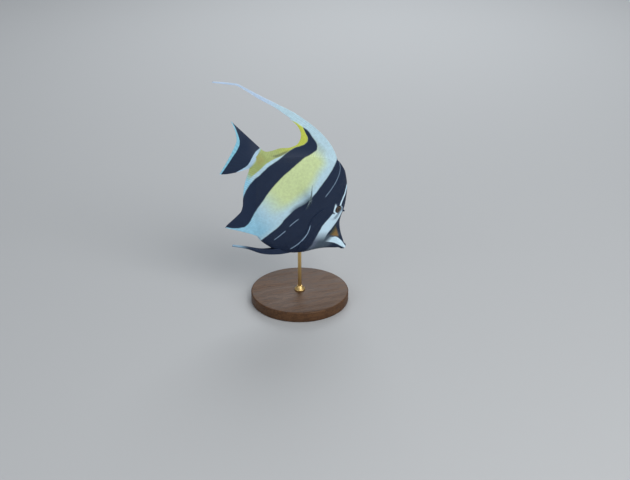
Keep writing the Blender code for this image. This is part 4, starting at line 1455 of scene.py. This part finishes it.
@dataclass
class ScaleCoat:
    """The coat of small scales over the skin, in staggered rows that follow the body."""

    name: str
    side: Side
    pitch: float
    first: float
    last: float
    seed: int
    row_share: float = 0.80
    lift: float = 0.075 * MM
    patch: float = 0.003
    lip_gap: float = 0.060
    edge_gap: float = 0.006

    def shape(self) -> bpy.types.Object:
        """One scale: a thin rounded shield that is sunk at its root and stands a little free behind."""
        outline = [(-0.55, -0.30), (-0.55, 0.30)]
        outline += [(0.18 + 0.50 * math.cos(a), 0.52 * math.sin(a)) for a in np.radians((100, 55, 20, -20, -55, -100))]
        rise = self.lift / self.pitch
        top = [(x, y, rise * (x + 0.35) / 1.05 - 0.9 * rise * (y / 0.5) ** 2) for x, y in outline]
        under = [(x, y, z - 1.6 * rise) for x, y, z in top]
        count = len(outline)
        points = [*top, (0.10, 0.0, 1.15 * rise), *under]
        faces = [(i, (i + 1) % count, count) for i in range(count)]
        faces += [(i, count + 1 + i, count + 1 + (i + 1) % count, (i + 1) % count) for i in range(count)]
        faces.append(tuple(range(2 * count, count, -1)))
        piece = mesh_piece("one scale", np.array(points, float), faces)
        set_attribute(piece.data, "within", np.array([(x * 0.5, y * 0.5, 0.0) for x, y, _ in points]))
        return piece

    def roots(self) -> tuple[np.ndarray, np.ndarray]:
        """Where the scales grow.

        Returns:
            The places along the body, and their angles round it.
        """
        step = self.pitch / POSE.body_length
        rows, columns = int(0.9 / (step * self.row_share)), int((self.last - self.first) / step)
        places = []
        for row in range(rows):
            up = -0.42 + row * step * self.row_share
            for column in range(columns):
                back = self.first + (column + 0.5 * (row % 2)) * step
                places.append((back, up))
        back, up = np.array(places).T
        top, bottom = BODY.back_line(back), BODY.belly_line(back)
        inside = (up < top - self.edge_gap) & (up > bottom + self.edge_gap)
        back, up, top, bottom = back[inside], up[inside], top[inside], bottom[inside]
        turn = np.arcsin((2 * up - top - bottom) / (top - bottom))
        if self.side is Side.LEFT:
            turn = math.pi - turn
        points = BODY.bare(back, turn)
        centre, _ = BODY.mark(BODY.eye_place, self.side)
        clear = np.linalg.norm(points - centre, axis=1) > 6.1 * MM
        for place in BODY.nostrils:
            clear &= np.linalg.norm(points - BODY.mark(place, self.side)[0], axis=1) > 1.2 * MM
        clear &= back > self.lip_gap
        return back[clear], turn[clear]

    def build(self, trees: GrowthTrees, finish: bpy.types.Material) -> bpy.types.Object:
        """Makes the coat.

        Args:
            trees: The Geometry Nodes trees.
            finish: Its material.

        Returns:
            The dressed piece.
        """
        back, turn = self.roots()
        step = 2e-3
        points = BODY.skin(back, turn)
        lie = unit(BODY.skin(back + step, turn) - BODY.skin(back - step, turn))
        around = BODY.skin(back, turn + step) - BODY.skin(back, turn - step)
        facing = unit(np.cross(around, lie))
        mesh = bpy.data.meshes.new("scale roots")
        mesh.from_pydata(points.tolist(), [], [])
        small = 0.62 + 0.38 * ease(back, self.first, self.first + 0.20)
        set_attribute(mesh, "facing", facing)
        set_attribute(mesh, "lie", lie)
        set_attribute(mesh, "size", small if self.first < 0.1 else np.ones(len(back)))
        sweep = (turn + math.pi / 2) / (2 * math.pi)
        set_attribute(mesh, "root_patch", np.stack((0.02 + 0.96 * back, 0.02 + 0.96 * sweep, np.zeros(len(back))), 1))
        bed = bpy.data.objects.new("scale roots", mesh)
        bpy.context.scene.collection.objects.link(bed)
        shape = self.shape()
        piece = baked_piece(self.name, bed, trees.scales, {
            "Scale shape": shape, "Size": self.pitch * 1.06, "Patch": self.patch, "Seed": self.seed, "Finish": finish,
        })
        bpy.data.objects.remove(shape)
        return dress(piece, finish, "skin_pale")


FinShape = Callable[[np.ndarray, np.ndarray], np.ndarray]


def bent_rays(line: Profile, sink: float, base: tuple[float, float], rim: Pairs, bows: Pairs, fade: float) -> FinShape:
    """The middle surface of the back or belly fin.

    Args:
        line: The body's outline that the fin grows from.
        sink: How far the roots lie above that line, below it where negative.
        base: Where the first and the last ray start.
        rim: The fin's outer edge, as (back, up) points.
        bows: How far the first ray's two handles bow out.
        fade: How fast the bow fades towards the rear rays.

    Returns:
        A function from the share across the rays and out along them to points of the scene.
    """
    edge = Route(rim)

    def surface(across: np.ndarray, out: np.ndarray) -> np.ndarray:
        """A point of the fin's middle surface."""
        back = base[0] + (base[1] - base[0]) * across
        start, end = (back, line(back) + sink), edge(across)
        bent = (1 - across) ** fade
        result = []
        for axis in (0, 1):
            a, d = start[axis], end[axis]
            b, c = (a + (d - a) * share + bow[axis] * bent for share, bow in zip((1 / 3, 2 / 3), bows))
            t = out
            result.append((1 - t) ** 3 * a + 3 * t * (1 - t) ** 2 * b + 3 * t**2 * (1 - t) * c + t**3 * d)
        return POSE.place(result[0], result[1], np.zeros_like(result[0]))

    return surface


def dorsal_shape() -> FinShape:
    """The back fin's middle surface."""
    rim = (
        (1.035, 0.4215), (1.010, 0.375), (0.954, 0.378), (0.888, 0.362), (0.849, 0.322), (0.841, 0.290),
        (0.863, 0.239), (0.912, 0.190), (0.949, 0.131), (0.972, 0.108), (0.994, 0.100),
    )
    return bent_rays(BODY.back_line, -0.026, (0.500, 0.958), rim, ((-0.036, 0.084), (-0.039, 0.056)), 2.5)


def anal_shape() -> FinShape:
    """The belly fin's middle surface."""
    rim = (
        (0.789, -0.453), (0.792, -0.430), (0.787, -0.360), (0.786, -0.312), (0.805, -0.270),
        (0.839, -0.233), (0.902, -0.163), (0.945, -0.092), (0.964, -0.055), (0.986, -0.027),
    )
    return bent_rays(BODY.belly_line, 0.026, (0.530, 0.950), rim, ((0.000, 0.010), (0.000, 0.002)), 2.0)


def streamer_shape() -> FinShape:
    """The trailing filament's middle surface, from inside the back fin to its tip."""
    line = Route((
        (0.958, 0.4070), (0.998, 0.4040), (1.072, 0.391), (1.152, 0.373), (1.269, 0.341), (1.387, 0.313),
        (1.438, 0.300), (1.456, 0.293), (1.470, 0.283), (1.499, 0.262), (1.583, 0.198),
    ))
    widths = Profile((
        (0.000, 0.0170), (0.060, 0.0205), (0.173, 0.0175), (0.295, 0.0118), (0.474, 0.0102), (0.549, 0.0088),
        (0.652, 0.0064), (0.718, 0.0056), (0.859, 0.0052), (0.975, 0.0044), (1.000, 0.0028),
    ))
    sway, sway_turns = 0.012, 0.8

    def surface(across: np.ndarray, out: np.ndarray) -> np.ndarray:
        """A point of the filament's middle surface."""
        step = 0.01
        back, up = line(out)
        ahead, behind = line(np.minimum(out + step, 1.0)), line(np.maximum(out - step, 0.0))
        run, climb = ahead[0] - behind[0], ahead[1] - behind[1]
        length = np.hypot(run, climb)
        offset = widths(out) * (1 - 2 * across)
        right = sway * out**2 * np.sin(2 * math.pi * sway_turns * out)
        return POSE.place(back - climb / length * offset, up + run / length * offset, right)

    return surface


def tail_shape() -> FinShape:
    """The tail fin's middle surface, whose lobes swing apart sideways."""
    root = np.array(((0.988, 0.098, 0.000), (0.962, -0.023, 0.000)))
    upper, lower = np.array((1.250, 0.091, -0.120)), np.array((1.156, -0.196, 0.120))
    fork, bow, power = np.array((1.190, 0.029, 0.030)), np.array((0.000, -0.022, 0.000)), 1.4

    def surface(across: np.ndarray, out: np.ndarray) -> np.ndarray:
        """A point of the tail's middle surface."""
        across, out = np.broadcast_arrays(across, out)
        lobe = (1 - 2 * across)[..., None]
        middle = (upper + lower) / 2
        end = fork + (upper - lower) / 2 * lobe + (middle - fork) * np.abs(lobe) ** power
        start = root[0] + (root[1] - root[0]) * across[..., None]
        spot = start + (end - start) * out[..., None] + bow * (across * 4 * out * (1 - out))[..., None]
        return POSE.place(spot[..., 0], spot[..., 1], spot[..., 2])

    return surface


def pectoral_shape(side: Side) -> FinShape:
    """A side fin's middle surface, fanned up and out behind the gill cover."""
    root = np.array(((0.463, 0.053), (0.473, -0.003)))
    rays = np.array(((0.150, 0.112, 0.050), (0.115, 0.100, 0.110)))
    sink, rounding = 0.0020, 0.18

    def surface(across: np.ndarray, out: np.ndarray) -> np.ndarray:
        """A point of the side fin's middle surface."""
        across, out = np.broadcast_arrays(across, out)
        back = root[0, 0] + (root[1, 0] - root[0, 0]) * across
        up = root[0, 1] + (root[1, 1] - root[0, 1]) * across
        top, bottom = BODY.back_line(back), BODY.belly_line(back)
        turn = np.arcsin((2 * up - top - bottom) / (top - bottom))
        if side is Side.LEFT:
            turn = math.pi - turn
        start = BODY.bare(back, turn) - BODY.facing(back, turn) * sink
        ray = rays[0] + (rays[1] - rays[0]) * across[..., None]
        reach = POSE.place(ray[..., 0], ray[..., 1], ray[..., 2] * side.value) - np.array(POSE.lips)
        reach = reach * (1 + rounding * np.sin(math.pi * across))[..., None]
        return start + (reach + BODY.facing(back, turn) * sink) * out[..., None]

    return surface


def pelvic_shape(side: Side) -> FinShape:
    """A belly fin's middle surface, trailing under the chest."""
    front = Route(((0.265, -0.250), (0.350, -0.345), (0.457, -0.421), (0.563, -0.460), (0.667, -0.516)))
    rear = Route(((0.335, -0.265), (0.406, -0.339), (0.478, -0.402), (0.571, -0.452), (0.672, -0.509)))
    root_right, tip_right, tilt = 0.012, 0.036, 0.010
    lead, drop = (0.038, 0.006) if side is Side.LEFT else (0.0, 0.0)

    def surface(across: np.ndarray, out: np.ndarray) -> np.ndarray:
        """A point of the belly fin's middle surface."""
        (front_back, front_up), (rear_back, rear_up) = front(out), rear(out)
        back = front_back + (rear_back - front_back) * across - lead * out
        up = front_up + (rear_up - front_up) * across - drop * out
        right = root_right + (tip_right - root_right) * out + tilt * (across - 0.5)
        return POSE.place(back, up, right * side.value)

    return surface


@dataclass
class IdolFin:
    """One fin: a thin membrane, and the round rays that stiffen it."""

    name: str
    shape: FinShape
    rays: int
    rows: int
    nodes: tuple[str, ...]
    slot: str
    membrane: FinFinish
    ray_finish: FinFinish
    web: float = 0.16 * MM
    body_share: float = 0.0
    root_flesh: float = 0.0
    flesh_reach: float = 6.5 * MM
    longest_reach: float = 12.0 * MM
    under_scales: float = 0.06 * MM
    slim_until: float = 0.0
    ray_root: float = 0.42 * MM
    ray_tip: float = 0.15 * MM
    forks: tuple[float, ...] = (0.45,)
    web_columns: int = 4
    start: float = 0.0
    scallop: float = 0.0

    def facing(self, across: np.ndarray, out: np.ndarray) -> np.ndarray:
        """The way the fin's first face looks."""
        step = 1e-3
        wide = self.shape(np.minimum(across + step, 1.0), out) - self.shape(np.maximum(across - step, 0.0), out)
        long = self.shape(across, np.minimum(out + step, 1.0)) - self.shape(across, np.maximum(out - step, 0.0))
        return unit(np.cross(wide, long))

    def thickness(self, across: np.ndarray, out: np.ndarray) -> np.ndarray:
        """Half the membrane's thickness, which swells into flesh at the root."""
        middle, root = self.shape(across, out), self.shape(across, np.zeros_like(out))
        distance = np.linalg.norm(middle - root, axis=-1)
        flesh, reach = self.root_swell(across, root)
        flesh = flesh * np.exp(-distance / reach) * (1 - out**3)
        pleats = 0.88 + 0.12 * np.cos(2 * math.pi * across * self.rays)
        return self.web * (1 - 0.45 * out) * pleats * self.slimness(out) + flesh

    def root_swell(self, across: np.ndarray, root: np.ndarray) -> tuple[np.ndarray, np.ndarray]:
        """The flesh at a fin's root.

        Args:
            across: The rays' shares across the fin.
            root: Where each ray starts.

        Returns:
            How thick the flesh is beside the membrane, and how far out it fades. Where it
            meets the body, it leaves at the body's own slope, so that no crease shows.
        """
        if not self.body_share:
            return np.full(across.shape, self.root_flesh), np.full(across.shape, self.flesh_reach)
        onward = unit(self.shape(across, np.full_like(across, 0.03)) - root)
        body = BODY.half_thickness(*POSE.shares(root))
        inner = BODY.half_thickness(*POSE.shares(root - onward * MM))
        slope = np.maximum((inner - body) / MM, 1e-3)
        reach = np.clip(body / slope, 3.5 * MM, self.longest_reach)
        return np.maximum(self.body_share * body - self.web - self.under_scales, 0.0), reach

    def slimness(self, out: np.ndarray) -> np.ndarray:
        """How much thinner the fin is where it starts inside another one."""
        return 0.15 + 0.85 * ease(out, 0.0, self.slim_until) if self.slim_until else np.ones_like(out)

    def build_membrane(self, effects: SharedEffects) -> bpy.types.Object:
        """Makes the membrane as a closed thin sheet.

        Args:
            effects: The shared shader groups.

        Returns:
            The dressed piece.
        """
        columns = self.rays * self.web_columns + 1
        across, out = np.meshgrid(np.linspace(0, 1, columns), np.linspace(self.start, 1, self.rows + 1), indexing="ij")
        notch = self.scallop * (0.5 - 0.5 * np.cos(2 * math.pi * across * self.rays))
        reach = out * (1 - notch * out**6)
        middle, normal = self.shape(across, reach), self.facing(across, reach)
        half = self.thickness(across, reach)[..., None]
        count = columns * (self.rows + 1)
        points = np.concatenate(((middle + normal * half).reshape(-1, 3), (middle - normal * half).reshape(-1, 3)))
        number = np.arange(count).reshape(columns, self.rows + 1)
        a, b, c, d = (grid.ravel() for grid in (number[:-1, :-1], number[1:, :-1], number[1:, 1:], number[:-1, 1:]))
        faces = np.concatenate((np.stack((a, b, c, d), 1), np.stack((d, c, b, a), 1) + count)).tolist()
        rim = [*number[:, 0], *number[-1, 1:], *number[-2::-1, -1], *number[0, -2:0:-1]]
        faces += [(i, j, j + count, i + count) for i, j in zip(rim, rim[1:] + rim[:1])]
        piece = mesh_piece(self.name, points, faces)
        place = np.stack((across.ravel(), out.ravel(), np.zeros(count)), 1)
        set_attribute(piece.data, "fin_place", np.concatenate((place, place)))
        return dress(piece, self.membrane.build(effects), self.slot, *self.nodes)

    def ray_chains(self) -> tuple[np.ndarray, np.ndarray, np.ndarray, list[tuple[int, int]]]:
        """The rays' middle lines, with their forks.

        Returns:
            The points, the places on the fin, the radii, and the edges that join them.
        """
        places, girths, edges = [], [], []

        def chain(start: float, stop: float, begin: float, finish: float, girth: float) -> None:
            """Adds one stretch of a ray, from one place across to another."""
            steps = max(4, int(self.rows * (finish - begin)))
            first = len(places)
            for step in range(steps + 1):
                share = step / steps
                out = begin + (finish - begin) * share
                places.append((start + (stop - start) * share**0.8, out, 0.0))
                taper = self.ray_root + (self.ray_tip - self.ray_root) * out**0.8
                girths.append(taper * girth)
            edges.extend((first + step, first + step + 1) for step in range(steps))

        gap = 1.0 / self.rays
        for ray in range(self.rays + 1):
            across = min(1.0, max(0.0, ray * gap))
            branches = [across]
            begin, spread, girth = self.start, 0.27 * gap, 1.0
            stops = [*self.forks, 0.998] if 0 < ray < self.rays else [0.998]
            for stop in stops:
                following = []
                for branch in branches:
                    if begin == self.start:
                        chain(branch, branch, begin, stop, girth)
                        following.append(branch)
                    else:
                        for sign in (-1, 1):
                            chain(branch, branch + sign * spread, begin, stop, girth)
                            following.append(branch + sign * spread)
                if begin != self.start:
                    spread *= 0.5
                branches, begin, girth = following, stop, girth * 0.78
        places_array = np.array(places)
        girths_array = np.array(girths) * self.slimness(places_array[:, 1])
        return self.shape(places_array[:, 0], places_array[:, 1]), places_array, girths_array, edges

    def build_rays(self, trees: GrowthTrees, effects: SharedEffects) -> bpy.types.Object:
        """Makes the rays along the membrane.

        Args:
            trees: The Geometry Nodes trees.
            effects: The shared shader groups.

        Returns:
            The dressed piece.
        """
        points, places, girths, edges = self.ray_chains()
        mesh = bpy.data.meshes.new("ray lines")
        mesh.from_pydata(points.tolist(), edges, [])
        set_attribute(mesh, "fin_place", places)
        set_attribute(mesh, "girth", girths)
        lines = bpy.data.objects.new("ray lines", mesh)
        bpy.context.scene.collection.objects.link(lines)
        finish = self.ray_finish.build(effects)
        piece = baked_piece(f"{self.name}_rays", lines, trees.rays, {"Girth": 1.0, "Sides": 6, "Finish": finish})
        return dress(piece, finish, self.slot)


def idol_fins() -> list[IdolFin]:
    """All the fins of the fish, in the order they are built."""
    marked = FinFinish("dorsal membrane", FinColour.MARKINGS, 42)
    fins = [
        IdolFin("dorsal_membrane", dorsal_shape(), 42, 44, ("dorsal_fin",), "fin_pale", marked,
                FinFinish("dorsal rays", FinColour.MARKINGS, 42, brightness=1.04),
                body_share=1.0, forks=(0.55,), ray_root=0.55 * MM, ray_tip=0.16 * MM),
        IdolFin("streamer", streamer_shape(), 4, 90, ("dorsal_streamer",), "fin_pale",
                FinFinish("streamer membrane", FinColour.MARKINGS, 4, 70.0),
                FinFinish("streamer rays", FinColour.MARKINGS, 4, 70.0, brightness=1.04),
                web=0.30 * MM, ray_root=0.36 * MM, ray_tip=0.16 * MM, forks=(), web_columns=3, slim_until=0.16),
        IdolFin("anal_membrane", anal_shape(), 34, 34, ("anal_fin",), "fin_black",
                FinFinish("anal membrane", FinColour.MARKINGS, 34),
                FinFinish("anal rays", FinColour.MARKINGS, 34, brightness=1.04),
                body_share=1.0, forks=(0.55,), ray_root=0.50 * MM, ray_tip=0.15 * MM),
        IdolFin("tail_membrane", tail_shape(), 17, 40, ("tail_fin",), "fin_black",
                FinFinish("tail membrane", FinColour.TAIL, 17),
                FinFinish("tail rays", FinColour.TAIL, 17, brightness=1.1),
                body_share=1.0, longest_reach=7.0 * MM, forks=(0.32, 0.62), ray_root=0.42 * MM,
                ray_tip=0.15 * MM, web_columns=8),
    ]
    for side in Side:
        label = side.name.lower()
        fins.append(IdolFin(
            f"pectoral_membrane_{label}", pectoral_shape(side), 17, 24, (f"pectoral_fin_{label}",), "fin_clear",
            FinFinish(f"pectoral membrane {label}", FinColour.CLEAR, 17, opaque=0.17),
            FinFinish(f"pectoral rays {label}", FinColour.CLEAR, 17, opaque=0.80, brightness=1.1),
            web=0.09 * MM, root_flesh=0.35 * MM, flesh_reach=2.5 * MM, ray_root=0.20 * MM, ray_tip=0.07 * MM,
            forks=(0.5,), web_columns=4))
        fins.append(IdolFin(
            f"pelvic_membrane_{label}", pelvic_shape(side), 6, 48, (f"pelvic_fin_{label}",), "fin_black",
            FinFinish(f"pelvic membrane {label}", FinColour.PELVIC, 6, 90.0),
            FinFinish(f"pelvic rays {label}", FinColour.PELVIC, 6, 90.0, brightness=1.1),
            web=0.20 * MM, root_flesh=0.7 * MM, flesh_reach=4.0 * MM, ray_root=0.50 * MM, ray_tip=0.15 * MM,
            forks=(0.6,), web_columns=6))
    return fins


@dataclass
class IdolEye:
    """One eye: a flattened ball with its iris and pupil."""

    side: Side
    segments: int = 72
    rings: int = 40

    def build(self, finish: bpy.types.Material) -> bpy.types.Object:
        """Makes the eye.

        Args:
            finish: Its material.

        Returns:
            The dressed piece.
        """
        place, out = BODY.mark(BODY.eye_place, self.side)
        centre = Vector(place - out * (BODY.eye_depth - BODY.eye_proud))
        outline = []
        for ring in range(self.rings + 1):
            angle = math.pi * ring / self.rings
            outline.append((-BODY.eye_depth * math.cos(angle), BODY.eye_radius * math.sin(angle)))
        label = self.side.name.lower()
        piece = turned_piece(f"eyeball_{label}", outline, self.segments, centre, Vector(out))
        points = np.array([vert.co for vert in piece.data.vertices]) - np.array(centre)
        outward = points @ out
        flat = points - outward[:, None] * out
        distance = np.linalg.norm(flat, axis=1) / BODY.eye_radius
        radial = np.where(outward > 0, distance, 1.0)
        upright = unit(np.cross(out, (0.0, 0.0, 1.0)))
        across = np.cross(out, upright)
        set_attribute(piece.data, "eye_place", np.stack((flat @ upright * 160, flat @ across * 160, radial), 1))
        return dress(piece, finish, "eye", f"eye_{label}")


@dataclass
class BrowHorn:
    """The blunt little horn in front of one eye."""

    side: Side
    sink: float = 2.0 * MM
    profile: Pairs = ((0.0, 0.0), (0.0, 1.75), (0.8, 1.72), (1.7, 1.55), (2.7, 1.28), (3.6, 0.92), (4.2, 0.60),
                      (4.45, 0.33), (4.55, 0.0))
    lean: tuple[float, float, float] = (0.9, -0.5, 0.5)

    def build(self, finish: bpy.types.Material) -> bpy.types.Object:
        """Makes the horn.

        Args:
            finish: Its material.

        Returns:
            The dressed piece.
        """
        place, out = BODY.mark(BODY.horn_place, self.side)
        lean = Vector(POSE.place(-np.array(self.lean[0]), self.lean[2], -self.lean[1] * self.side.value))
        lean = (lean - Vector(POSE.lips)).normalized()
        outline = [(height * MM, radius * MM) for height, radius in self.profile]
        label = self.side.name.lower()
        piece = turned_piece(f"brow_horn_{label}", outline, 32, Vector(place - out * self.sink), lean)
        return dress(piece, finish, "skin_black", "head")


@dataclass
class DisplayStand:
    """The walnut foot, the brass collar and the rod that holds the fish up."""

    sides: int = 160
    foot_bevel: float = 1.5 * MM
    bevel_steps: int = 6
    groove_depth: float = 0.35 * MM

    def eased(self, low: float, high: float, radius: float, bevel: float) -> list[tuple[float, float]]:
        """A plate's outline with rounded edges.

        Args:
            low: Its underside's height.
            high: Its top's height.
            radius: Its radius.
            bevel: How far its edges are rounded.

        Returns:
            (height, radius) pairs.
        """
        arc = [math.pi / 2 * step / self.bevel_steps for step in range(self.bevel_steps + 1)]
        lower = [(low + bevel * (1 - math.sin(a)), radius - bevel * (1 - math.cos(a))) for a in reversed(arc)]
        lower = [(low + bevel * (1 - math.cos(a)), radius - bevel * (1 - math.sin(a))) for a in arc]
        upper = [(high - bevel * (1 - math.sin(a)), radius - bevel * (1 - math.cos(a))) for a in arc]
        return [(low, 0.0), *lower, *upper, (high, 0.0)]

    def build_foot(self, finish: bpy.types.Material) -> bpy.types.Object:
        """Makes the walnut foot from the frame's own base."""
        low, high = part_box("stand_base")
        radius = (high.x - low.x) / 2
        outline = self.eased(low.z, high.z, radius, self.foot_bevel)
        piece = turned_piece("walnut_foot", outline, self.sides, Vector((0, 0, 0)), Vector((0, 0, 1)))
        return dress(piece, finish, "stand_wood", "stand_base")

    def build_collar(self, finish: bpy.types.Material) -> bpy.types.Object:
        """Makes the brass collar with a turned waist."""
        low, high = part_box("stand_collar")
        radius, foot_top = (high.x - low.x) / 2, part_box("stand_base")[1].z
        tall = high.z - foot_top
        shares = ((0.0, 0.0), (0.0, 0.96), (0.05, 1.0), (0.20, 1.0), (0.27, 0.975), (0.34, 0.91), (0.46, 0.79),
                  (0.60, 0.67), (0.75, 0.57), (0.90, 0.50), (0.97, 0.47), (1.0, 0.43), (1.0, 0.0))
        outline = [(foot_top + tall * height, radius * share) for height, share in shares]
        piece = turned_piece("brass_collar", outline, 96, Vector((0, 0, 0)), Vector((0, 0, 1)))
        return dress(piece, finish, "stand_brass", "stand_collar")

    def build_rod(self, finish: bpy.types.Material) -> bpy.types.Object:
        """Makes the rod, whose top is sunk a little in the throat."""
        low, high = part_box("stand_rod")
        radius = (high.x - low.x) / 2
        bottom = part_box("stand_base")[1].z
        outline = [(bottom, 0.0), (bottom, radius), (high.z, radius), (high.z + 1.2 * MM, 0.0)]
        piece = turned_piece("brass_rod", outline, 64, Vector((0, 0, 0)), Vector((0, 0, 1)))
        piece.data.set_sharp_from_angle(angle=math.radians(40))
        return dress(piece, finish, "stand_brass", "stand_rod")

    def build(self) -> None:
        """Makes the whole stand."""
        walnut, brass = WalnutFinish().build(), MetalFinish().build()
        self.build_foot(walnut).data.set_sharp_from_angle(angle=math.radians(50))
        self.build_collar(brass).data.set_sharp_from_angle(angle=math.radians(35))
        self.build_rod(brass)


@dataclass(frozen=True)
class SoftLight:
    """A large soft studio lamp."""

    name: str
    place: tuple[float, float, float]
    size: float
    power: float
    colour: Colour = (1.0, 1.0, 1.0)

    def build(self, aim: Vector) -> None:
        """Hangs the lamp, turned to the fish."""
        lamp = bpy.data.lights.new(self.name, "AREA")
        lamp.shape, lamp.size, lamp.energy, lamp.color = "DISK", self.size, self.power, self.colour
        holder = bpy.data.objects.new(self.name, lamp)
        bpy.context.scene.collection.objects.link(holder)
        holder.location = self.place
        holder.rotation_mode = "QUATERNION"
        holder.rotation_quaternion = (aim - Vector(self.place)).to_track_quat("-Z", "Y")


@dataclass
class Studio:
    """A plain pale floor, soft light, and the camera at the photo's place."""

    aim: tuple[float, float, float] = (0.0099, -0.0241, 0.0835)
    distance: float = 1.300
    azimuth: float = -19.155
    elevation: float = 25.891
    lens: float = 68.05
    floor_half: float = 4.0
    floor_colour: Colour = (0.50, 0.51, 0.52)
    lights: tuple[SoftLight, ...] = (
        SoftLight("key", (0.25, -1.15, 1.15), 0.9, 11.2, (1.0, 0.99, 0.97)),
        SoftLight("low front", (1.05, -1.55, 0.75), 0.9, 6.4, (0.96, 0.98, 1.0)),
        SoftLight("fill", (-1.30, -0.70, 0.75), 1.2, 3.8, (0.92, 0.96, 1.0)),
        SoftLight("back", (0.60, 1.20, 1.10), 1.2, 12.5, (0.95, 0.98, 1.0)),
    )

    def build_floor(self) -> None:
        """Lays the floor."""
        half = self.floor_half
        corners = np.array(((-half, -half, 0.0), (half, -half, 0.0), (half, half, 0.0), (-half, half, 0.0)))
        floor = mesh_piece("floor", corners, [(0, 1, 2, 3)], smooth=False)
        finish = bpy.data.materials.new("pale floor")
        finish.use_nodes = True
        shader_of(finish).inputs["Base Color"].default_value = (*self.floor_colour, 1.0)
        shader_of(finish).inputs["Roughness"].default_value = 0.85
        shader_of(finish).inputs["Specular IOR Level"].default_value = 0.15
        floor.data.materials.append(finish)

    def build(self) -> None:
        """Makes the floor, the lights, the world and the camera."""
        self.build_floor()
        for light in self.lights:
            light.build(Vector(self.aim))
        world = bpy.data.worlds.new("soft room")
        world.use_nodes = True
        sky = world.node_tree.nodes["Background"]
        sky.inputs["Color"].default_value = (0.84, 0.88, 0.93, 1.0)
        sky.inputs["Strength"].default_value = 0.36
        bpy.context.scene.world = world
        bpy.context.scene.view_settings.view_transform = "Standard"
        a, e = math.radians(self.azimuth), math.radians(self.elevation)
        back = Vector((math.sin(a) * math.cos(e), -math.cos(a) * math.cos(e), math.sin(e)))
        camera = bpy.data.objects.new("camera", bpy.data.cameras.new("camera"))
        bpy.context.scene.collection.objects.link(camera)
        camera.data.lens = self.lens
        camera.location = Vector(self.aim) + back * self.distance
        camera.rotation_mode = "QUATERNION"
        camera.rotation_quaternion = (-back).to_track_quat("-Z", "Y")
        bpy.context.scene.camera = camera


def main() -> None:
    """Builds the studio, the fish and its stand."""
    logging.basicConfig(level=logging.INFO, format="%(name)s %(message)s")
    Studio().build()
    effects, trees = SharedEffects(), GrowthTrees()
    skin = SkinFinish("idol skin").build(effects)
    scales = SkinFinish("idol scales", grain_pitch=420.0, grain_depth=0.00002).build(effects)
    IdolSkin().build(skin)
    head_pitch, trunk_pitch, trunk_start, trunk_columns = 0.80 * MM, 1.05 * MM, 0.374, 36
    flank_start = trunk_start + trunk_columns * trunk_pitch / POSE.body_length
    coats = (
        ("head_scales", head_pitch, 0.060, 0.372, 11), ("trunk_scales", trunk_pitch, trunk_start, flank_start + 1e-4, 21),
        ("flank_scales", trunk_pitch, flank_start, 0.995, 31),
    )
    for side, number in ((Side.RIGHT, 0), (Side.LEFT, 1)):
        label = side.name.lower()
        for name, pitch, first, last, seed in coats:
            ScaleCoat(f"{name}_{label}", side, pitch, first, last, seed + number).build(trees, scales)
        IdolEye(side).build(EyeFinish(f"idol eye {label}").build())
        BrowHorn(side).build(skin)
    for fin in idol_fins():
        fin.build_membrane(effects)
        fin.build_rays(trees, effects)
    DisplayStand().build()


if __name__ == "__main__":
    main()
